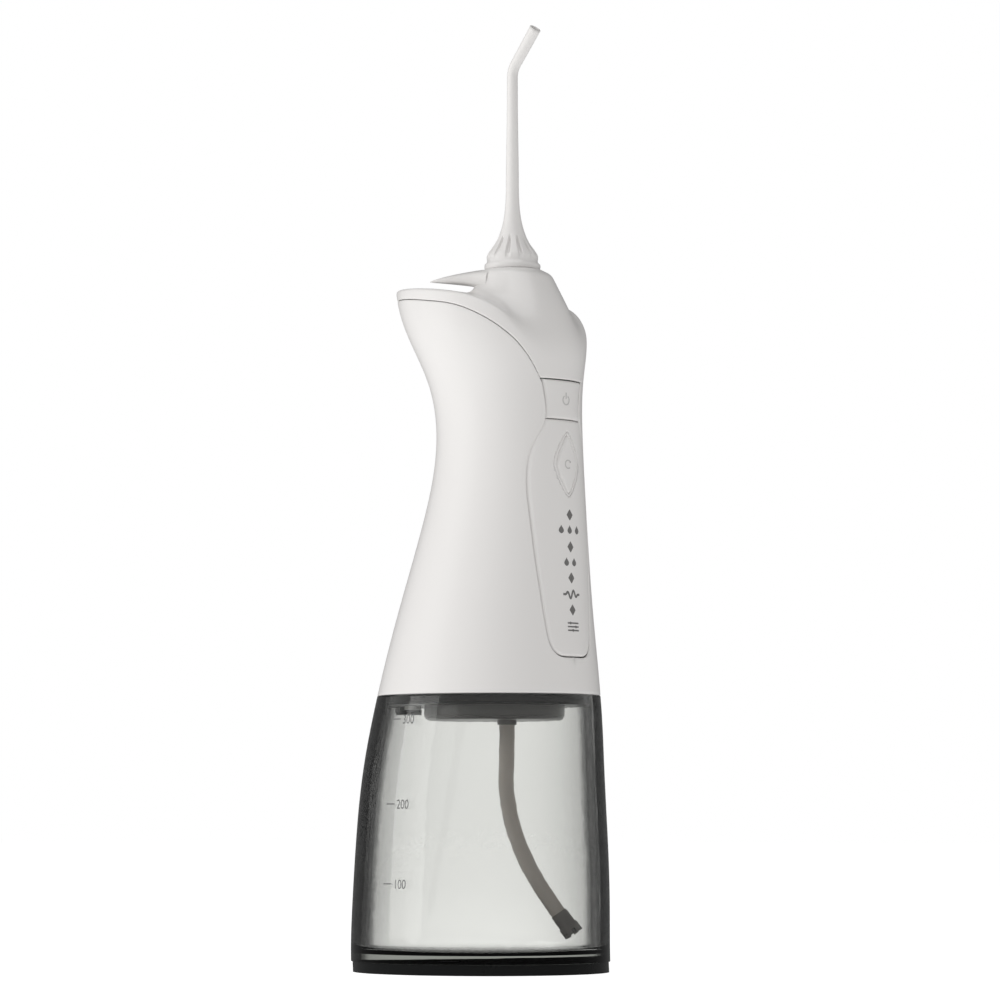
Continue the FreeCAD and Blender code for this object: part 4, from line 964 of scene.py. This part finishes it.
# ------------------------------------------------------------------ nozzle
# The jet nozzle is moulded white: a shank with a seal for the head, a collar with twelve leaf
# shaped scallops for the fingers, and a slim hollow stem that bends forward at its tip.
# The skin is a profile of (height, radius) carried along a path that goes straight up and leans
# over on an arc of the bend's radius. Each leaf takes depth off the radius, where cos(12 spin) is
# high, by sin(pi t^0.8) up the collar.
TURN_HEIGHT = 285.9
LEAN = math.radians(38)
BEND = 7.0
TIP_RUN = 13.4
STEM = 1.72
BORE = 0.95
LEAVES = 12
LEAF_FOOT, LEAF_RUN, LEAF_DEPTH = 227.2, 7.6, 1.25
profile = np.array([(206, 0), (206, 2.9), (206.5, 3.5), (223.45, 3.5), (223.45, 8.5), (223.6, 8.8),
                    (224.65, 9.0), (225.3, 8.9), (225.7, 8.4), (226.3, 8.05), (227, 8.2), (228, 8.25)])
fine = np.concatenate([np.linspace(228.3, 240, 46), np.linspace(241, TURN_HEIGHT, 40)])
flare = through([226.5, 228, 231.4, 235, 241.4, 252.8, 272.2, 286],
                [8.4, 8.2, 6.05, 4.2, 2.6, 2.05, 1.8, STEM], fine)
heights = np.concatenate([profile[:, 0], fine])
radii = np.concatenate([profile[:, 1], flare])
curl = np.linspace(0, LEAN, 14)[1:]
tip = np.linspace(0, TIP_RUN, 16)[1:]
inner = np.array([(0.0, 1.7), (0.0, BORE), (-2.5, BORE), (-2.5, 0.0)])
beyond = np.concatenate([tip, TIP_RUN + inner[:, 0]])
along = np.concatenate([heights, TURN_HEIGHT + BEND * np.sin(curl),
                        TURN_HEIGHT + BEND * math.sin(LEAN) + beyond * math.cos(LEAN)])
forward = np.concatenate([0 * heights, BEND * (1 - np.cos(curl)),
                          BEND * (1 - math.cos(LEAN)) + beyond * math.sin(LEAN)])
leaning = np.concatenate([0 * heights, curl, np.full(len(beyond), LEAN)])
radii = np.concatenate([radii, np.full(len(curl), STEM), np.linspace(STEM, 1.86, len(tip)), inner[:, 1]])
spin = np.linspace(0, 2 * np.pi, 289)[:-1]
leaf = np.clip((along - LEAF_FOOT) / LEAF_RUN, 0, 1)
scallop = np.clip(np.cos(LEAVES * spin)[None, :] * 2 - 0.7, 0, 1) * np.sin(np.pi * leaf ** 0.8)[:, None]
reach = radii[:, None] - LEAF_DEPTH * scallop
sideways, frontways = reach * np.cos(spin), reach * np.sin(spin)
nozzle_points = np.stack([sideways, NOZZLE_Y - forward[:, None] + frontways * np.cos(leaning)[:, None],
                          along[:, None] + frontways * np.sin(leaning)[:, None]], axis=-1)
quads = grid_faces(len(along), len(spin), wrapped=True)
nozzle = smooth_skin("jet_nozzle", nozzle_points, quads, white_abs)
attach(nozzle, "nozzle")
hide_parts("nozzle")

# ------------------------------------------------------------------ size
# The box round the pieces that are shown, the table left out.
low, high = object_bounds()
